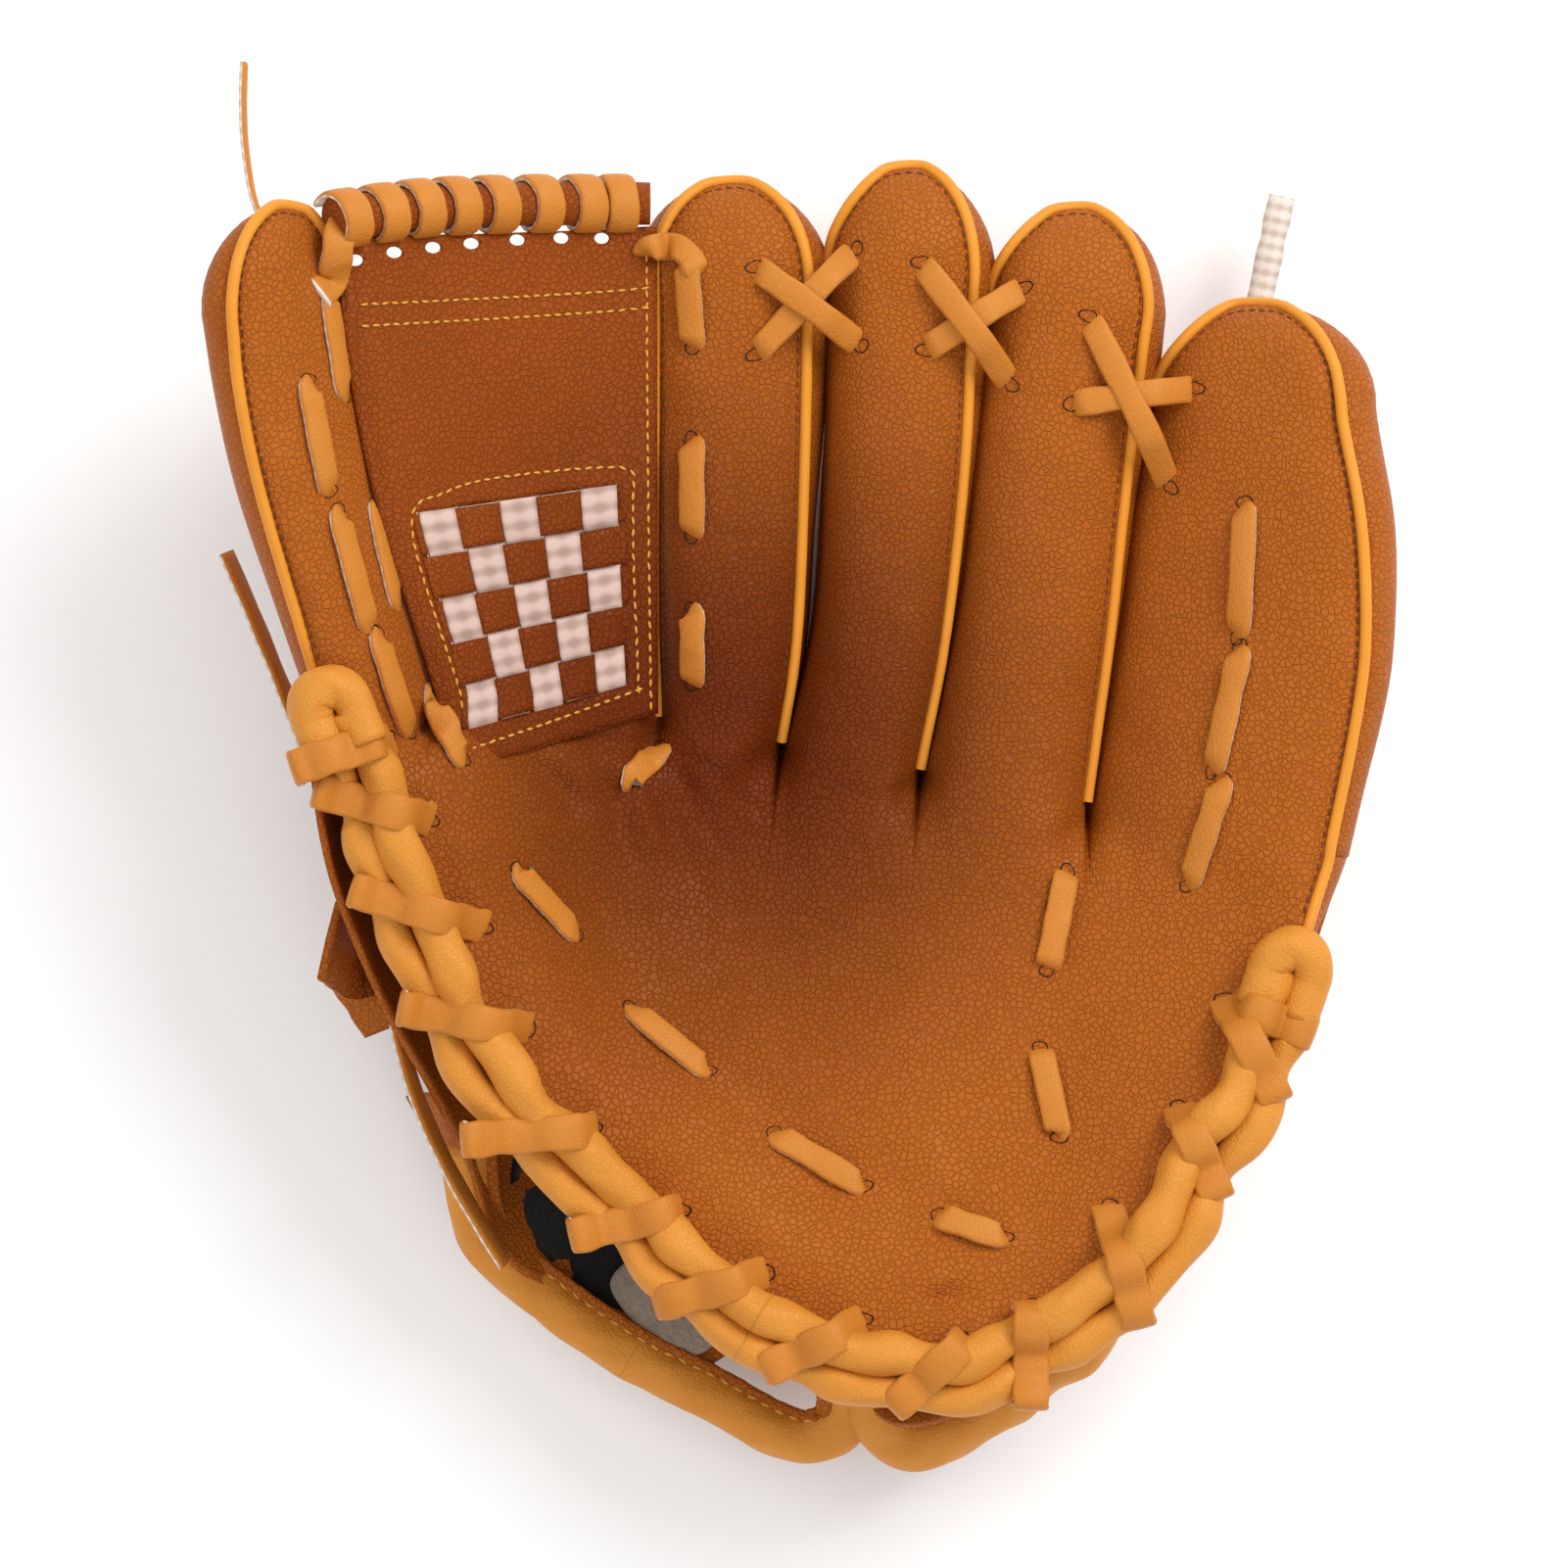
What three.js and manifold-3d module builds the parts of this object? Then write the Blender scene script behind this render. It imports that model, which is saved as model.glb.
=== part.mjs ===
// A fielder's baseball glove for the left hand, lying on its back with the pocket facing up.
//
// Frame: millimetres, +Z up out of the pocket, +Y towards the fingertips, thumb at -X.
// The palm, index, middle and ring fingers are the fixed body. The thumb side, with the web,
// and the little-finger side each fold up and in about a crease that runs from heel to fingers.
// Every stall is a front panel and a back panel sewn along two seams, so the hand cavity is open.

import * as THREE from "three";
import { mergeVertices } from "three/addons/utils/BufferGeometryUtils.js";
import Module from "manifold-3d";

const wasm = await Module();
wasm.setup();

// ---- driving dimensions -------------------------------------------------------------------

const LACE_WIDTH = 6.3; // quarter-inch lacing
const LACE_THICKNESS = 1.9;
const LACE_CLEARANCE = 1; // between a lace and the leather that it lies on
const PIPING_RADIUS = 1.25;
const BINDING_RADIUS = 6;
const WRIST_ROLL_RADIUS = 5.5;
const WEB_BAR_RADIUS = 5.2;
const LEATHER = 2.2; // palm skin
const STALL_WALL = 3;
const BACK_WALL = 3;
const LACE_LAYER = 4.2; // room below the skin for the hidden runs of lace
const PADDING = 5;
const LINING = 1.2;
const SEAM_GAP = 0.3; // between pieces sewn edge to edge
const CREASE_HALF_GAP = 2.5; // each side of a folding crease
const POCKET_DEPTH_Z = 42; // pocket skin above the surface that the back rests on
const CREASE_SOFTNESS = 12; // radius-like softening of every rise in the surfaces
const THUMB_RISE = 0.78;
const THUMB_BACK_RISE = 1;
const LITTLE_RISE = 0.47;
const LITTLE_BACK_RISE = 0.9;
const HEEL_RISE = 0.3;
const HEEL_BACK_RISE = 0.35;
const TIP_RISE = 0.1;
const TIP_BACK_RISE = 0.18;
const BACK_STANDOFF = 8; // the back starts to rise this far outside a crease
const SEAM_ANGLE = THREE.MathUtils.degToRad(39); // where front and back panels of a stall meet
const STALL_FULLNESS = 0.85; // exponent of the stall section: 1 is an ellipse, less is boxier
const TAPE_THICKNESS = 0.7;
const TAPE_WIDTH = 6.2;
const WEB_THICKNESS = 1.8;
const WEB_STRIPS = 5; // and as many tapes
const WEB_SLIT_WIDTH = 4;
const STRAP_WIDTH = 24;
const STRAP_THICKNESS = 2.2;

// Stall outlines: y, left edge and right edge, from the palm to the start of the dome.
const STALLS = {
  index: { rows: [[20.6, -34, -6.5], [45, -35, -2], [86, -35.6, 1], [124, -35.8, 2.4]], tip: 148 },
  middle: { rows: [[14.4, -4.5, 24.5], [45, 0.6, 32.8], [86, 3.6, 38], [127, 5, 41.2]], tip: 151.5 },
  ring: { rows: [[7.3, 27, 62.2], [45, 35.6, 69.4], [75, 39, 74.5], [118, 43.6, 81]], tip: 142 },
  little: { rows: [[-3.8, 67.5, 132.5], [45, 74.6, 136], [70, 79, 134], [95, 83.6, 125.5]], tip: 119.5 },
  thumb: { rows: [[27.4, -118, -82], [70, -130.5, -97], [95, -135.5, -102.5], [112, -136, -105]], tip: 137.5 },
};
const PIPED_BOTH_SIDES = ["index"];
const PIPED_LEFT = ["thumb"];

// Edges that the heel binding rolls round, one run for each body.
const HEEL_EDGES = {
  thumb: [[-104, 20], [-102, 2], [-98, -16], [-90.7, -37], [-79, -61], [-61, -81], [-46, -92.5]],
  center: [[-29, -106.5], [-16, -114.5], [-5, -120.6], [10.6, -127.4], [24, -128.8], [36.5, -125.4]],
  little: [[52, -115.5], [69, -100], [80, -86], [90.5, -67], [99.5, -51], [107, -41]],
};
const WRIST_EDGES = {
  thumb: [[-77, -96], [-69, -105], [-58, -113.5], [-43, -124]],
  left: [[-31, -131.5], [-20, -137], [-7, -143], [2, -146.5], [9, -143]],
  right: [[19, -141], [27, -145.5], [37, -140.5], [43, -134]],
};
const THUMB_BACK_EDGE = [[-44, -116], [-66, -98], [-82, -75], [-97, -45], [-108, -12], [-113, 26.5]];
const LITTLE_EDGE = [[52, -106], [66, -93], [77, -78], [88, -58], [99, -40], [116, -27], [129, -11.5]];

const COLOURS = {
  leather: [0xa8581f, 0.5],
  piping: [0xe08a2b, 0.45],
  binding: [0xcf8835, 0.45],
  lace: [0xbe7a2e, 0.5],
  tape: [0xc0a79c, 0.85],
  foam: [0xd8d2c4, 0.95],
  lining: [0xa89f93, 0.95],
  hook: [0x1c1a19, 0.95],
};

// ---- surfaces -----------------------------------------------------------------------------

const { lerp } = THREE.MathUtils;
const rise = (d) => (d > 0 ? Math.hypot(d, CREASE_SOFTNESS) - CREASE_SOFTNESS : 0);
const thumbCreaseX = (y) => -38.5 + (147 - y) * 0.0118;
const littleCreaseX = (y) => 43.2 + (y + 125) * 0.168;
const stallBaseY = (x) => (x < -37 ? 24 + 0.05 * (-37 - x) : 24 - 0.205 * (x + 37));

// Height of the catching surface.
function frontZ(x, y) {
  return (
    POCKET_DEPTH_Z +
    THUMB_RISE * rise(thumbCreaseX(y) - x) +
    LITTLE_RISE * rise(x - littleCreaseX(y)) +
    HEEL_RISE * rise(-20 - y) +
    TIP_RISE * rise(y - 20)
  );
}

// Height of the outside of the back.
function backZ(x, y) {
  return (
    THUMB_BACK_RISE * rise(thumbCreaseX(y) - x - BACK_STANDOFF) +
    LITTLE_BACK_RISE * rise(x - littleCreaseX(y) - BACK_STANDOFF) +
    HEEL_BACK_RISE * rise(-70 - y) +
    TIP_BACK_RISE * rise(y - 10)
  );
}

// ---- meshes -------------------------------------------------------------------------------

const glove = new THREE.Group();
glove.name = "baseball_glove";

// Geometry from a vertex list and triangles, turned so that its faces point outwards.
function closedGeometry(vertices, triangles) {
  let volume = 0;
  for (const [a, b, c] of triangles) volume += vertices[a].dot(vertices[b].clone().cross(vertices[c]));
  const index = triangles.flatMap(([a, b, c]) => (volume < 0 ? [a, c, b] : [a, b, c]));
  const geometry = new THREE.BufferGeometry().setFromPoints(vertices);
  geometry.setIndex(index);
  return geometry;
}

// A sheet with thickness: two surfaces over the same (u, v) square, joined along its four sides.
function sheet(columns, rows, top, bottom) {
  const vertices = [];
  for (const surface of [top, bottom]) {
    for (let j = 0; j <= rows; j++) {
      for (let i = 0; i <= columns; i++) vertices.push(surface(i / columns, j / rows));
    }
  }
  const half = (columns + 1) * (rows + 1);
  const at = (i, j) => j * (columns + 1) + i;
  const triangles = [];
  const quad = (a, b, c, d) => triangles.push([a, b, c], [a, c, d]);
  for (let j = 0; j < rows; j++) {
    for (let i = 0; i < columns; i++) {
      const [a, b, c, d] = [at(i, j), at(i + 1, j), at(i + 1, j + 1), at(i, j + 1)];
      quad(a, b, c, d);
      quad(a + half, d + half, c + half, b + half);
    }
  }
  const rim = [];
  for (let i = 0; i < columns; i++) rim.push(at(i, 0));
  for (let j = 0; j < rows; j++) rim.push(at(columns, j));
  for (let i = columns; i > 0; i--) rim.push(at(i, rows));
  for (let j = rows; j > 0; j--) rim.push(at(0, j));
  rim.forEach((a, k) => {
    const b = rim[(k + 1) % rim.length];
    quad(b, a, a + half, b + half);
  });
  return closedGeometry(vertices, triangles);
}

// A flat strip swept along points; sides[k] lies roughly along the strip's width at point k.
function strip(points, sides, width, thickness) {
  const vertices = [];
  const triangles = [];
  points.forEach((point, k) => {
    const before = points[Math.max(k - 1, 0)];
    const after = points[Math.min(k + 1, points.length - 1)];
    const tangent = after.clone().sub(before).normalize();
    const side = sides[k].clone().addScaledVector(tangent, -sides[k].dot(tangent)).normalize();
    const normal = tangent.clone().cross(side);
    for (const [s, n] of [[-1, -1], [1, -1], [1, 1], [-1, 1]]) {
      vertices.push(
        point.clone().addScaledVector(side, (s * width) / 2).addScaledVector(normal, (n * thickness) / 2),
      );
    }
  });
  for (let k = 0; k + 1 < points.length; k++) {
    for (let c = 0; c < 4; c++) {
      const [a, b] = [4 * k + c, 4 * k + ((c + 1) % 4)];
      triangles.push([a, b, b + 4], [a, b + 4, a + 4]);
    }
  }
  const end = 4 * (points.length - 1);
  triangles.push([0, 2, 1], [0, 3, 2], [end, end + 1, end + 2], [end, end + 2, end + 3]);
  return closedGeometry(vertices, triangles);
}

// A round roll or cord along a smooth curve through the points.
function roll(points, radius, sides, steps) {
  const ring = Array.from({ length: sides }, (_, k) => {
    const angle = (2 * Math.PI * k) / sides;
    return new THREE.Vector2(radius * Math.cos(angle), radius * Math.sin(angle));
  });
  const extrudePath = new THREE.CatmullRomCurve3(points, false, "centripetal");
  return new THREE.ExtrudeGeometry(new THREE.Shape(ring), { steps, extrudePath, bevelEnabled: false });
}

function toSolid(geometry) {
  const bare = geometry.clone();
  bare.deleteAttribute("normal");
  bare.deleteAttribute("uv");
  const merged = mergeVertices(bare, 1e-4);
  return new wasm.Manifold(
    new wasm.Mesh({
      numProp: 3,
      vertProperties: merged.attributes.position.array,
      triVerts: new Uint32Array(merged.index.array),
    }),
  );
}

// The geometry less every cutter, keeping only the largest piece that is left.
function cut(geometry, cutters) {
  let solid = toSolid(geometry);
  for (const cutter of cutters) solid = solid.subtract(toSolid(cutter));
  const largest = solid.decompose().sort((a, b) => b.volume() - a.volume())[0];
  const mesh = largest.getMesh();
  const result = new THREE.BufferGeometry();
  result.setAttribute("position", new THREE.BufferAttribute(mesh.vertProperties, 3));
  result.setIndex(new THREE.BufferAttribute(mesh.triVerts, 1));
  return result;
}

function add(name, geometry, finish) {
  const [color, roughness] = COLOURS[finish];
  const material = new THREE.MeshStandardMaterial({ color, roughness, metalness: 0 });
  const mesh = new THREE.Mesh(geometry, material);
  mesh.name = name;
  glove.add(mesh);
}

// ---- curves through short lists of points -------------------------------------------------

const vec = (x, y, z = 0) => new THREE.Vector3(x, y, z);

// Point at fraction t of a smooth plan-view curve through [x, y] pairs.
function along(pairs) {
  const curve = new THREE.CatmullRomCurve3(pairs.map(([x, y]) => vec(x, y)), false, "centripetal");
  return (t) => curve.getPoint(t);
}

// ---- stalls -------------------------------------------------------------------------------

// Edges of a stall at height y, with its dome: left, right and the scale of its section.
function stallRow({ rows, tip }, y) {
  const domeStart = rows.at(-1)[0];
  if (y >= domeStart) {
    const t = (y - domeStart) / (tip - domeStart);
    return [rows.at(-1)[1], rows.at(-1)[2], Math.sqrt(Math.max(1 - t * t, 0))];
  }
  const k = Math.max(rows.findIndex((row) => row[0] > y), 1);
  const [y0, l0, r0] = rows[k - 1];
  const [y1, l1, r1] = rows[k];
  const t = (y - y0) / (y1 - y0);
  return [lerp(l0, l1, t), lerp(r0, r1, t), 1];
}

const power = (value) => Math.sign(value) * Math.abs(value) ** STALL_FULLNESS;

// Point of a stall's section: angle 0 is its right side, a quarter turn is its front.
function stallPoint(stall, y, angle, inset) {
  const [left, right, scale] = stallRow(stall, y);
  const middle = (left + right) / 2;
  const halfWidth = ((right - left) / 2) * scale;
  const halfDepth = ((frontZ(middle, y) - backZ(middle, y)) / 2) * scale;
  const x = middle + (halfWidth - inset) * power(Math.cos(angle));
  const z = (frontZ(x, y) + backZ(x, y)) / 2 + (halfDepth - inset) * power(Math.sin(angle));
  const baseShift = stallBaseY(x) - stallBaseY(middle);
  const start = stall.rows[0][0];
  const fade = Math.max(1 - (y - start) / (stall.tip - start), 0);
  return vec(x, y + baseShift * fade, z);
}

// Height of the front of a stall above plan position (x, y).
function stallFrontZ(stall, x, y) {
  const [left, right, scale] = stallRow(stall, y);
  const middle = (left + right) / 2;
  const halfWidth = ((right - left) / 2) * scale;
  const cosine = THREE.MathUtils.clamp((x - middle) / halfWidth, -0.999, 0.999);
  const angle = Math.acos(Math.sign(cosine) * Math.abs(cosine) ** (1 / STALL_FULLNESS));
  return stallPoint(stall, y, angle, 0).z;
}

const STALL_ROWS = [0, 0.28, 0.56, 0.8, 0.88, 0.95, 0.99]; // fractions of the stall's length

function stallPanel(stall, from, to, columns) {
  const start = stall.rows[0][0];
  const surface = (inset) => (u, v) => {
    const y = lerp(start, stall.tip, STALL_ROWS[Math.round(v * (STALL_ROWS.length - 1))]);
    return stallPoint(stall, y, lerp(from, to, u), inset);
  };
  return sheet(columns, STALL_ROWS.length - 1, surface(0), surface(STALL_WALL));
}

// The piping stands proud of the seam: up one side, over the tip and some or all of the way down.
function pipingPoints(name, stall) {
  const start = stall.rows[0][0] + 2;
  const end = stall.tip - 1.2;
  const proud = -(PIPING_RADIUS + 2.5 * SEAM_GAP);
  const seams = [SEAM_ANGLE, Math.PI - SEAM_ANGLE];
  if (PIPED_LEFT.includes(name)) seams.reverse();
  const heights = [0, 0.2, 0.4, 0.6, 0.76, 0.86, 0.94];
  const place = (t, seam) => stallPoint(stall, lerp(start, end, t), seam, t > 0.8 ? proud - 0.9 : proud);
  const points = heights.map((t) => place(t, seams[0]));
  const crown = stallPoint(stall, end, Math.PI / 2, 0);
  points.push(vec(crown.x, stall.tip + PIPING_RADIUS + 5 * SEAM_GAP, crown.z - 2));
  const back = heights.slice(PIPED_BOTH_SIDES.includes(name) ? 0 : 5).reverse();
  for (const t of back) points.push(place(t, seams[1]));
  return points;
}

// ---- laces --------------------------------------------------------------------------------

// A lace that runs in and out of holes: over the leather from an even hole to the next odd one,
// then below it. surface(x, y) is the leather's top; wall is its thickness there.
function runningLace(holes, surface, wall, firstLift = 0) {
  const over = LACE_CLEARANCE + LACE_THICKNESS / 2;
  const under = -(wall + LACE_CLEARANCE + LACE_THICKNESS / 2);
  const points = [];
  holes.forEach(([x, y], k) => {
    const previous = holes[k - 1];
    if (previous) {
      const isOver = k % 2 === 1;
      const offset = isOver ? over : under;
      const crossing = isOver && k === 1 ? firstLift : 0;
      for (const t of [0.12, 0.5, 0.88]) {
        const px = lerp(previous[0], x, t);
        const py = lerp(previous[1], y, t);
        const bow = t === 0.5 ? crossing : 0;
        const chord = lerp(surface(...previous), surface(x, y), t);
        const base = isOver ? Math.max(surface(px, py), chord) : Math.min(surface(px, py), chord);
        points.push(vec(px, py, base + offset + bow));
      }
    }
  });
  const [first, last] = [holes[0], holes.at(-1)];
  points.unshift(vec(first[0], first[1], surface(...first) + under));
  if (holes.length % 2 === 0) points.push(vec(last[0], last[1], surface(...last) + under));
  const sides = points.map((point, k) => {
    const a = points[Math.max(k - 1, 0)];
    const b = points[Math.min(k + 1, points.length - 1)];
    return vec(-(b.y - a.y), b.x - a.x, 0);
  });
  return { points, sides };
}

const laceOf = ({ points, sides }) => strip(points, sides, LACE_WIDTH, LACE_THICKNESS);

// The space that a lace needs: a little wider, thicker and longer than the lace.
function slotsOf({ points, sides }) {
  const lead = points[0].clone().sub(points[1]).setLength(1.5).add(points[0]);
  const tail = points.at(-1).clone().sub(points.at(-2)).setLength(1.5).add(points.at(-1));
  const longer = [lead, ...points.slice(1, -1), tail];
  return strip(longer, sides, LACE_WIDTH + 1, LACE_THICKNESS + 1);
}

// A lace wound round a roll: one turn of the helix every pitch.
function windingLace(pathPoints, radius, turns, stepsPerTurn) {
  const curve = new THREE.CatmullRomCurve3(pathPoints, false, "centripetal");
  const count = turns * stepsPerTurn;
  const points = [];
  const sides = [];
  const reach = radius + LACE_CLEARANCE + 0.3 + LACE_THICKNESS / 2;
  for (let k = 0; k <= count; k++) {
    const t = lerp(0.03, 0.97, k / count);
    const tangent = curve.getTangentAt(t);
    const out = vec(0, 0, 1).addScaledVector(tangent, -tangent.z).normalize();
    const across = tangent.clone().cross(out);
    const angle = (2 * Math.PI * k) / stepsPerTurn;
    const radial = out.multiplyScalar(Math.cos(angle)).addScaledVector(across, Math.sin(angle));
    points.push(curve.getPointAt(t).addScaledVector(radial, reach));
    sides.push(tangent);
  }
  return { points, sides };
}

// ---- the fixed body: palm and three fingers -----------------------------------------------

const CROSS_HOLES = {
  index_middle: [[-12.6, 127], [13.3, 108.9], [11.5, 127], [-12.4, 106.7]],
  middle_ring: [[26.3, 128], [49.5, 99.5], [51.5, 121], [26.8, 107.5]],
  ring_little: [[65.3, 115], [86.5, 75.6], [91.5, 97.5], [61.2, 95.4]],
};
const INDEX_LACE_HOLES = [
  [-28.5, 128], [-28.5, 110], [-28.5, 87], [-28.5, 65], [-28.5, 48], [-28.5, 31],
];
const PALM_LACE_HOLES = [
  [55, -13], [51, -35.5], [48, -53], [45, -73.5], [37, -91], [26, -91],
  [13.5, -86], [-7.5, -72.5], [-20, -61], [-29, -45],
];
const LITTLE_LACE_HOLES = [[101.4, 71.5], [101, 42], [99.5, 38.5], [94.5, 12], [93.5, 8.5], [87.5, -14]];
const THUMB_LACE_HOLES = [
  [-106.5, 118], [-105.5, 100], [-105, 95], [-104, 74], [-102, 67], [-99, 50.5], [-96.5, 43.5], [-92.5, 31],
];

// Highest front surface of the stalls under a lace that crosses from one to the next.
function nearestFrontZ(names) {
  return (x, y) =>
    Math.max(
      ...names.map((name) => {
        const [left, right] = stallRow(STALLS[name], y);
        return x >= left && x <= right ? stallFrontZ(STALLS[name], x, y) : 0;
      }),
    );
}

const crossLaces = Object.fromEntries(
  Object.entries(CROSS_HOLES).map(([pair, holes]) => [
    pair,
    runningLace(holes, nearestFrontZ(pair.split("_")), STALL_WALL, LACE_THICKNESS + 0.5),
  ]),
);
const stallSurface = (name) => (x, y) => stallFrontZ(STALLS[name], x, y);
const edgeLaces = {
  index: runningLace(INDEX_LACE_HOLES, stallSurface("index"), STALL_WALL),
  thumb: runningLace(THUMB_LACE_HOLES, stallSurface("thumb"), STALL_WALL),
};
const littleLace = runningLace(LITTLE_LACE_HOLES, stallSurface("little"), STALL_WALL);
const palmLace = runningLace(PALM_LACE_HOLES, frontZ, LEATHER);

const stallCutters = {
  index: [edgeLaces.index, crossLaces.index_middle],
  middle: [crossLaces.index_middle, crossLaces.middle_ring],
  ring: [crossLaces.middle_ring, crossLaces.ring_little],
  little: [crossLaces.ring_little, littleLace],
  thumb: [edgeLaces.thumb],
};

for (const [name, stall] of Object.entries(STALLS)) {
  const front = stallPanel(stall, SEAM_ANGLE + 0.02, Math.PI - SEAM_ANGLE - 0.02, 5);
  const back = stallPanel(stall, Math.PI - SEAM_ANGLE + 0.02, 2 * Math.PI + SEAM_ANGLE - 0.02, 8);
  const holes = stallCutters[name].map(slotsOf);
  add(`${name}_front`, cut(front, holes), "leather");
  add(`${name}_back`, cut(back, holes), "leather");
  add(`${name}_piping`, roll(pipingPoints(name, stall), PIPING_RADIUS, 6, 22), "piping");
}

add("index_lace", laceOf(edgeLaces.index), "lace");
add("thumb_lace", laceOf(edgeLaces.thumb), "lace");
add("little_lace", laceOf(littleLace), "lace");
add("palm_lace", laceOf(palmLace), "lace");
for (const [pair, lace] of Object.entries(crossLaces)) add(`cross_lace_${pair}`, laceOf(lace), "lace");

// ---- palm, heel and back panels -----------------------------------------------------------

const BINDING_INSET = BINDING_RADIUS + 0.6;

// Plan-view edge moved towards the middle of the palm, clear of the binding.
const insetEdge = (pairs, inset) =>
  pairs.map(([x, y]) => {
    const toMiddle = vec(5 - x, -20 - y).normalize();
    return [x + toMiddle.x * inset, y + toMiddle.y * inset];
  });

const palmHeel = along(insetEdge(HEEL_EDGES.center, BINDING_INSET));
const thumbHeel = along(insetEdge(HEEL_EDGES.thumb, BINDING_INSET).reverse());
const littleHeel = along(LITTLE_EDGE);
const thumbBackEdge = along(THUMB_BACK_EDGE);
const wristEdge = along([[-33, -122], [-16, -131], [0, -136.5], [20, -134], [40, -122]]);

// Each region maps (u, v) to plan view: v runs from the heel up to the stalls.
const REGIONS = {
  palm: (u, v) => {
    const top = lerp(-34.5, 63, u);
    return palmHeel(u).lerp(vec(top, stallBaseY(top) - 1.2), v);
  },
  palm_back: (u, v) => {
    const top = lerp(-34.5, 63, u);
    return wristEdge(u).lerp(vec(top, stallBaseY(top) - 1.2), v);
  },
  thumb_heel: (u, v) => {
    const y = lerp(-92, stallBaseY(-40) - 1.2, v);
    return vec(thumbCreaseX(y) - CREASE_HALF_GAP, y).lerp(thumbHeel(v), u);
  },
  thumb_heel_back: (u, v) => {
    const y = lerp(-118, stallBaseY(-40) - 1.2, v);
    return vec(thumbCreaseX(y) - CREASE_HALF_GAP, y).lerp(thumbBackEdge(v), u);
  },
  little_heel: (u, v) => {
    const y = lerp(-112, stallBaseY(66) - 1.2, v);
    return vec(littleCreaseX(y) + CREASE_HALF_GAP, y).lerp(littleHeel(v), u);
  },
};
REGIONS.little_heel_back = REGIONS.little_heel;

// A layer of a region between two depths below the front surface, inset by margin in u and v.
function frontLayer(region, from, to, margin, columns = 6, rows = 6) {
  const place = (depth) => (u, v) => {
    const point = REGIONS[region](lerp(margin, 1 - margin, u), lerp(margin, 1 - margin, v));
    return point.setZ(frontZ(point.x, point.y) - depth);
  };
  return sheet(columns, rows, place(from), place(to));
}

// A back panel: it follows the back surface and turns up at its outer edge to meet the front.
function backPanel(region, curl, columns = 6, rows = 6) {
  const place = (lift) => (u, v) => {
    const point = REGIONS[region](u, v);
    const low = backZ(point.x, point.y);
    const high = frontZ(point.x, point.y) - BINDING_RADIUS - 12;
    return point.setZ(Math.max(lerp(low, high, curl * u ** 4), low) + lift);
  };
  return sheet(columns, rows, place(BACK_WALL), place(0));
}

const rollPath = (pairs, height) => pairs.map(([x, y]) => vec(x, y, height(x, y)));
const bindingPaths = Object.fromEntries(
  Object.entries(HEEL_EDGES).map(([side, pairs]) => [side, rollPath(pairs, (x, y) => frontZ(x, y) - 1)]),
);
const BINDING_TURNS = 5; // of the lace on each run of the binding
const bindingLaces = Object.fromEntries(
  Object.entries(bindingPaths).map(([side, path]) => [
    side,
    windingLace(path, BINDING_RADIUS, BINDING_TURNS, 7),
  ]),
);

const paddingTop = LEATHER + LACE_LAYER;
const paddingEnd = paddingTop + PADDING;
const FRONT_SIDES = { palm: "center", thumb_heel: "thumb", little_heel: "little" };
for (const [region, side] of Object.entries(FRONT_SIDES)) {
  const holes = [slotsOf(bindingLaces[side])];
  const lace = { palm: palmLace, little_heel: littleLace }[region];
  if (lace) holes.push(slotsOf(lace));
  add(`${region}_leather`, cut(frontLayer(region, 0, LEATHER, 0), holes), "leather");
  add(`${region}_padding`, frontLayer(region, paddingTop, paddingEnd, 0.12, 5, 5), "foam");
}
const liningTop = paddingEnd + SEAM_GAP;
add("palm_lining", frontLayer("palm", liningTop, liningTop + LINING, 0.12, 5, 5), "lining");
add("palm_back", backPanel("palm_back", 0), "leather");
add("thumb_heel_back", backPanel("thumb_heel_back", 1), "leather");
add("little_heel_back", backPanel("little_heel_back", 1), "leather");

// Fleece on the inside of the back where the wrist goes in.
const fleece = (lift) => (u, v) => {
  const point = REGIONS.palm_back(lerp(0.05, 0.95, u), lerp(0.04, 0.34, v));
  return point.setZ(backZ(point.x, point.y) + BACK_WALL + lift);
};
add("fleece_lining", sheet(6, 4, fleece(2), fleece(0.6)), "lining");

for (const [side, path] of Object.entries(bindingPaths)) {
  add(`heel_binding_${side}`, roll(path, BINDING_RADIUS, 8, 11), "binding");
  add(`heel_lace_${side}`, laceOf(bindingLaces[side]), "lace");
}
for (const [side, pairs] of Object.entries(WRIST_EDGES)) {
  const path = rollPath(pairs, (x, y) => backZ(x, y) + 8);
  add(`wrist_roll_${side}`, roll(path, WRIST_ROLL_RADIUS, 8, 8), "binding");
}

// ---- web ----------------------------------------------------------------------------------

const barPath = [[-101, 135], [-84, 137.5], [-62, 139.5], [-42, 141]].map(([x, y]) =>
  vec(x, y, frontZ(x, y) - 2),
);
const barLace = windingLace(barPath, WEB_BAR_RADIUS, 8, 6);
const barY = (u) => lerp(134.6, 141, u) - WEB_BAR_RADIUS - 0.8;

// The web in plan view: u from the thumb to the index finger, v from the palm to the bar.
function webPoint(u, v, offset) {
  const y = lerp(stallBaseY(lerp(-84, -42, u)) + 1, barY(u), v);
  const [, right, scale] = stallRow(STALLS.thumb, Math.min(y, STALLS.thumb.rows.at(-1)[0]));
  const x = lerp(right * scale + 1.6, thumbCreaseX(y) - CREASE_HALF_GAP, u);
  return vec(x, y, frontZ(x, y) - 2 + offset);
}

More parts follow.
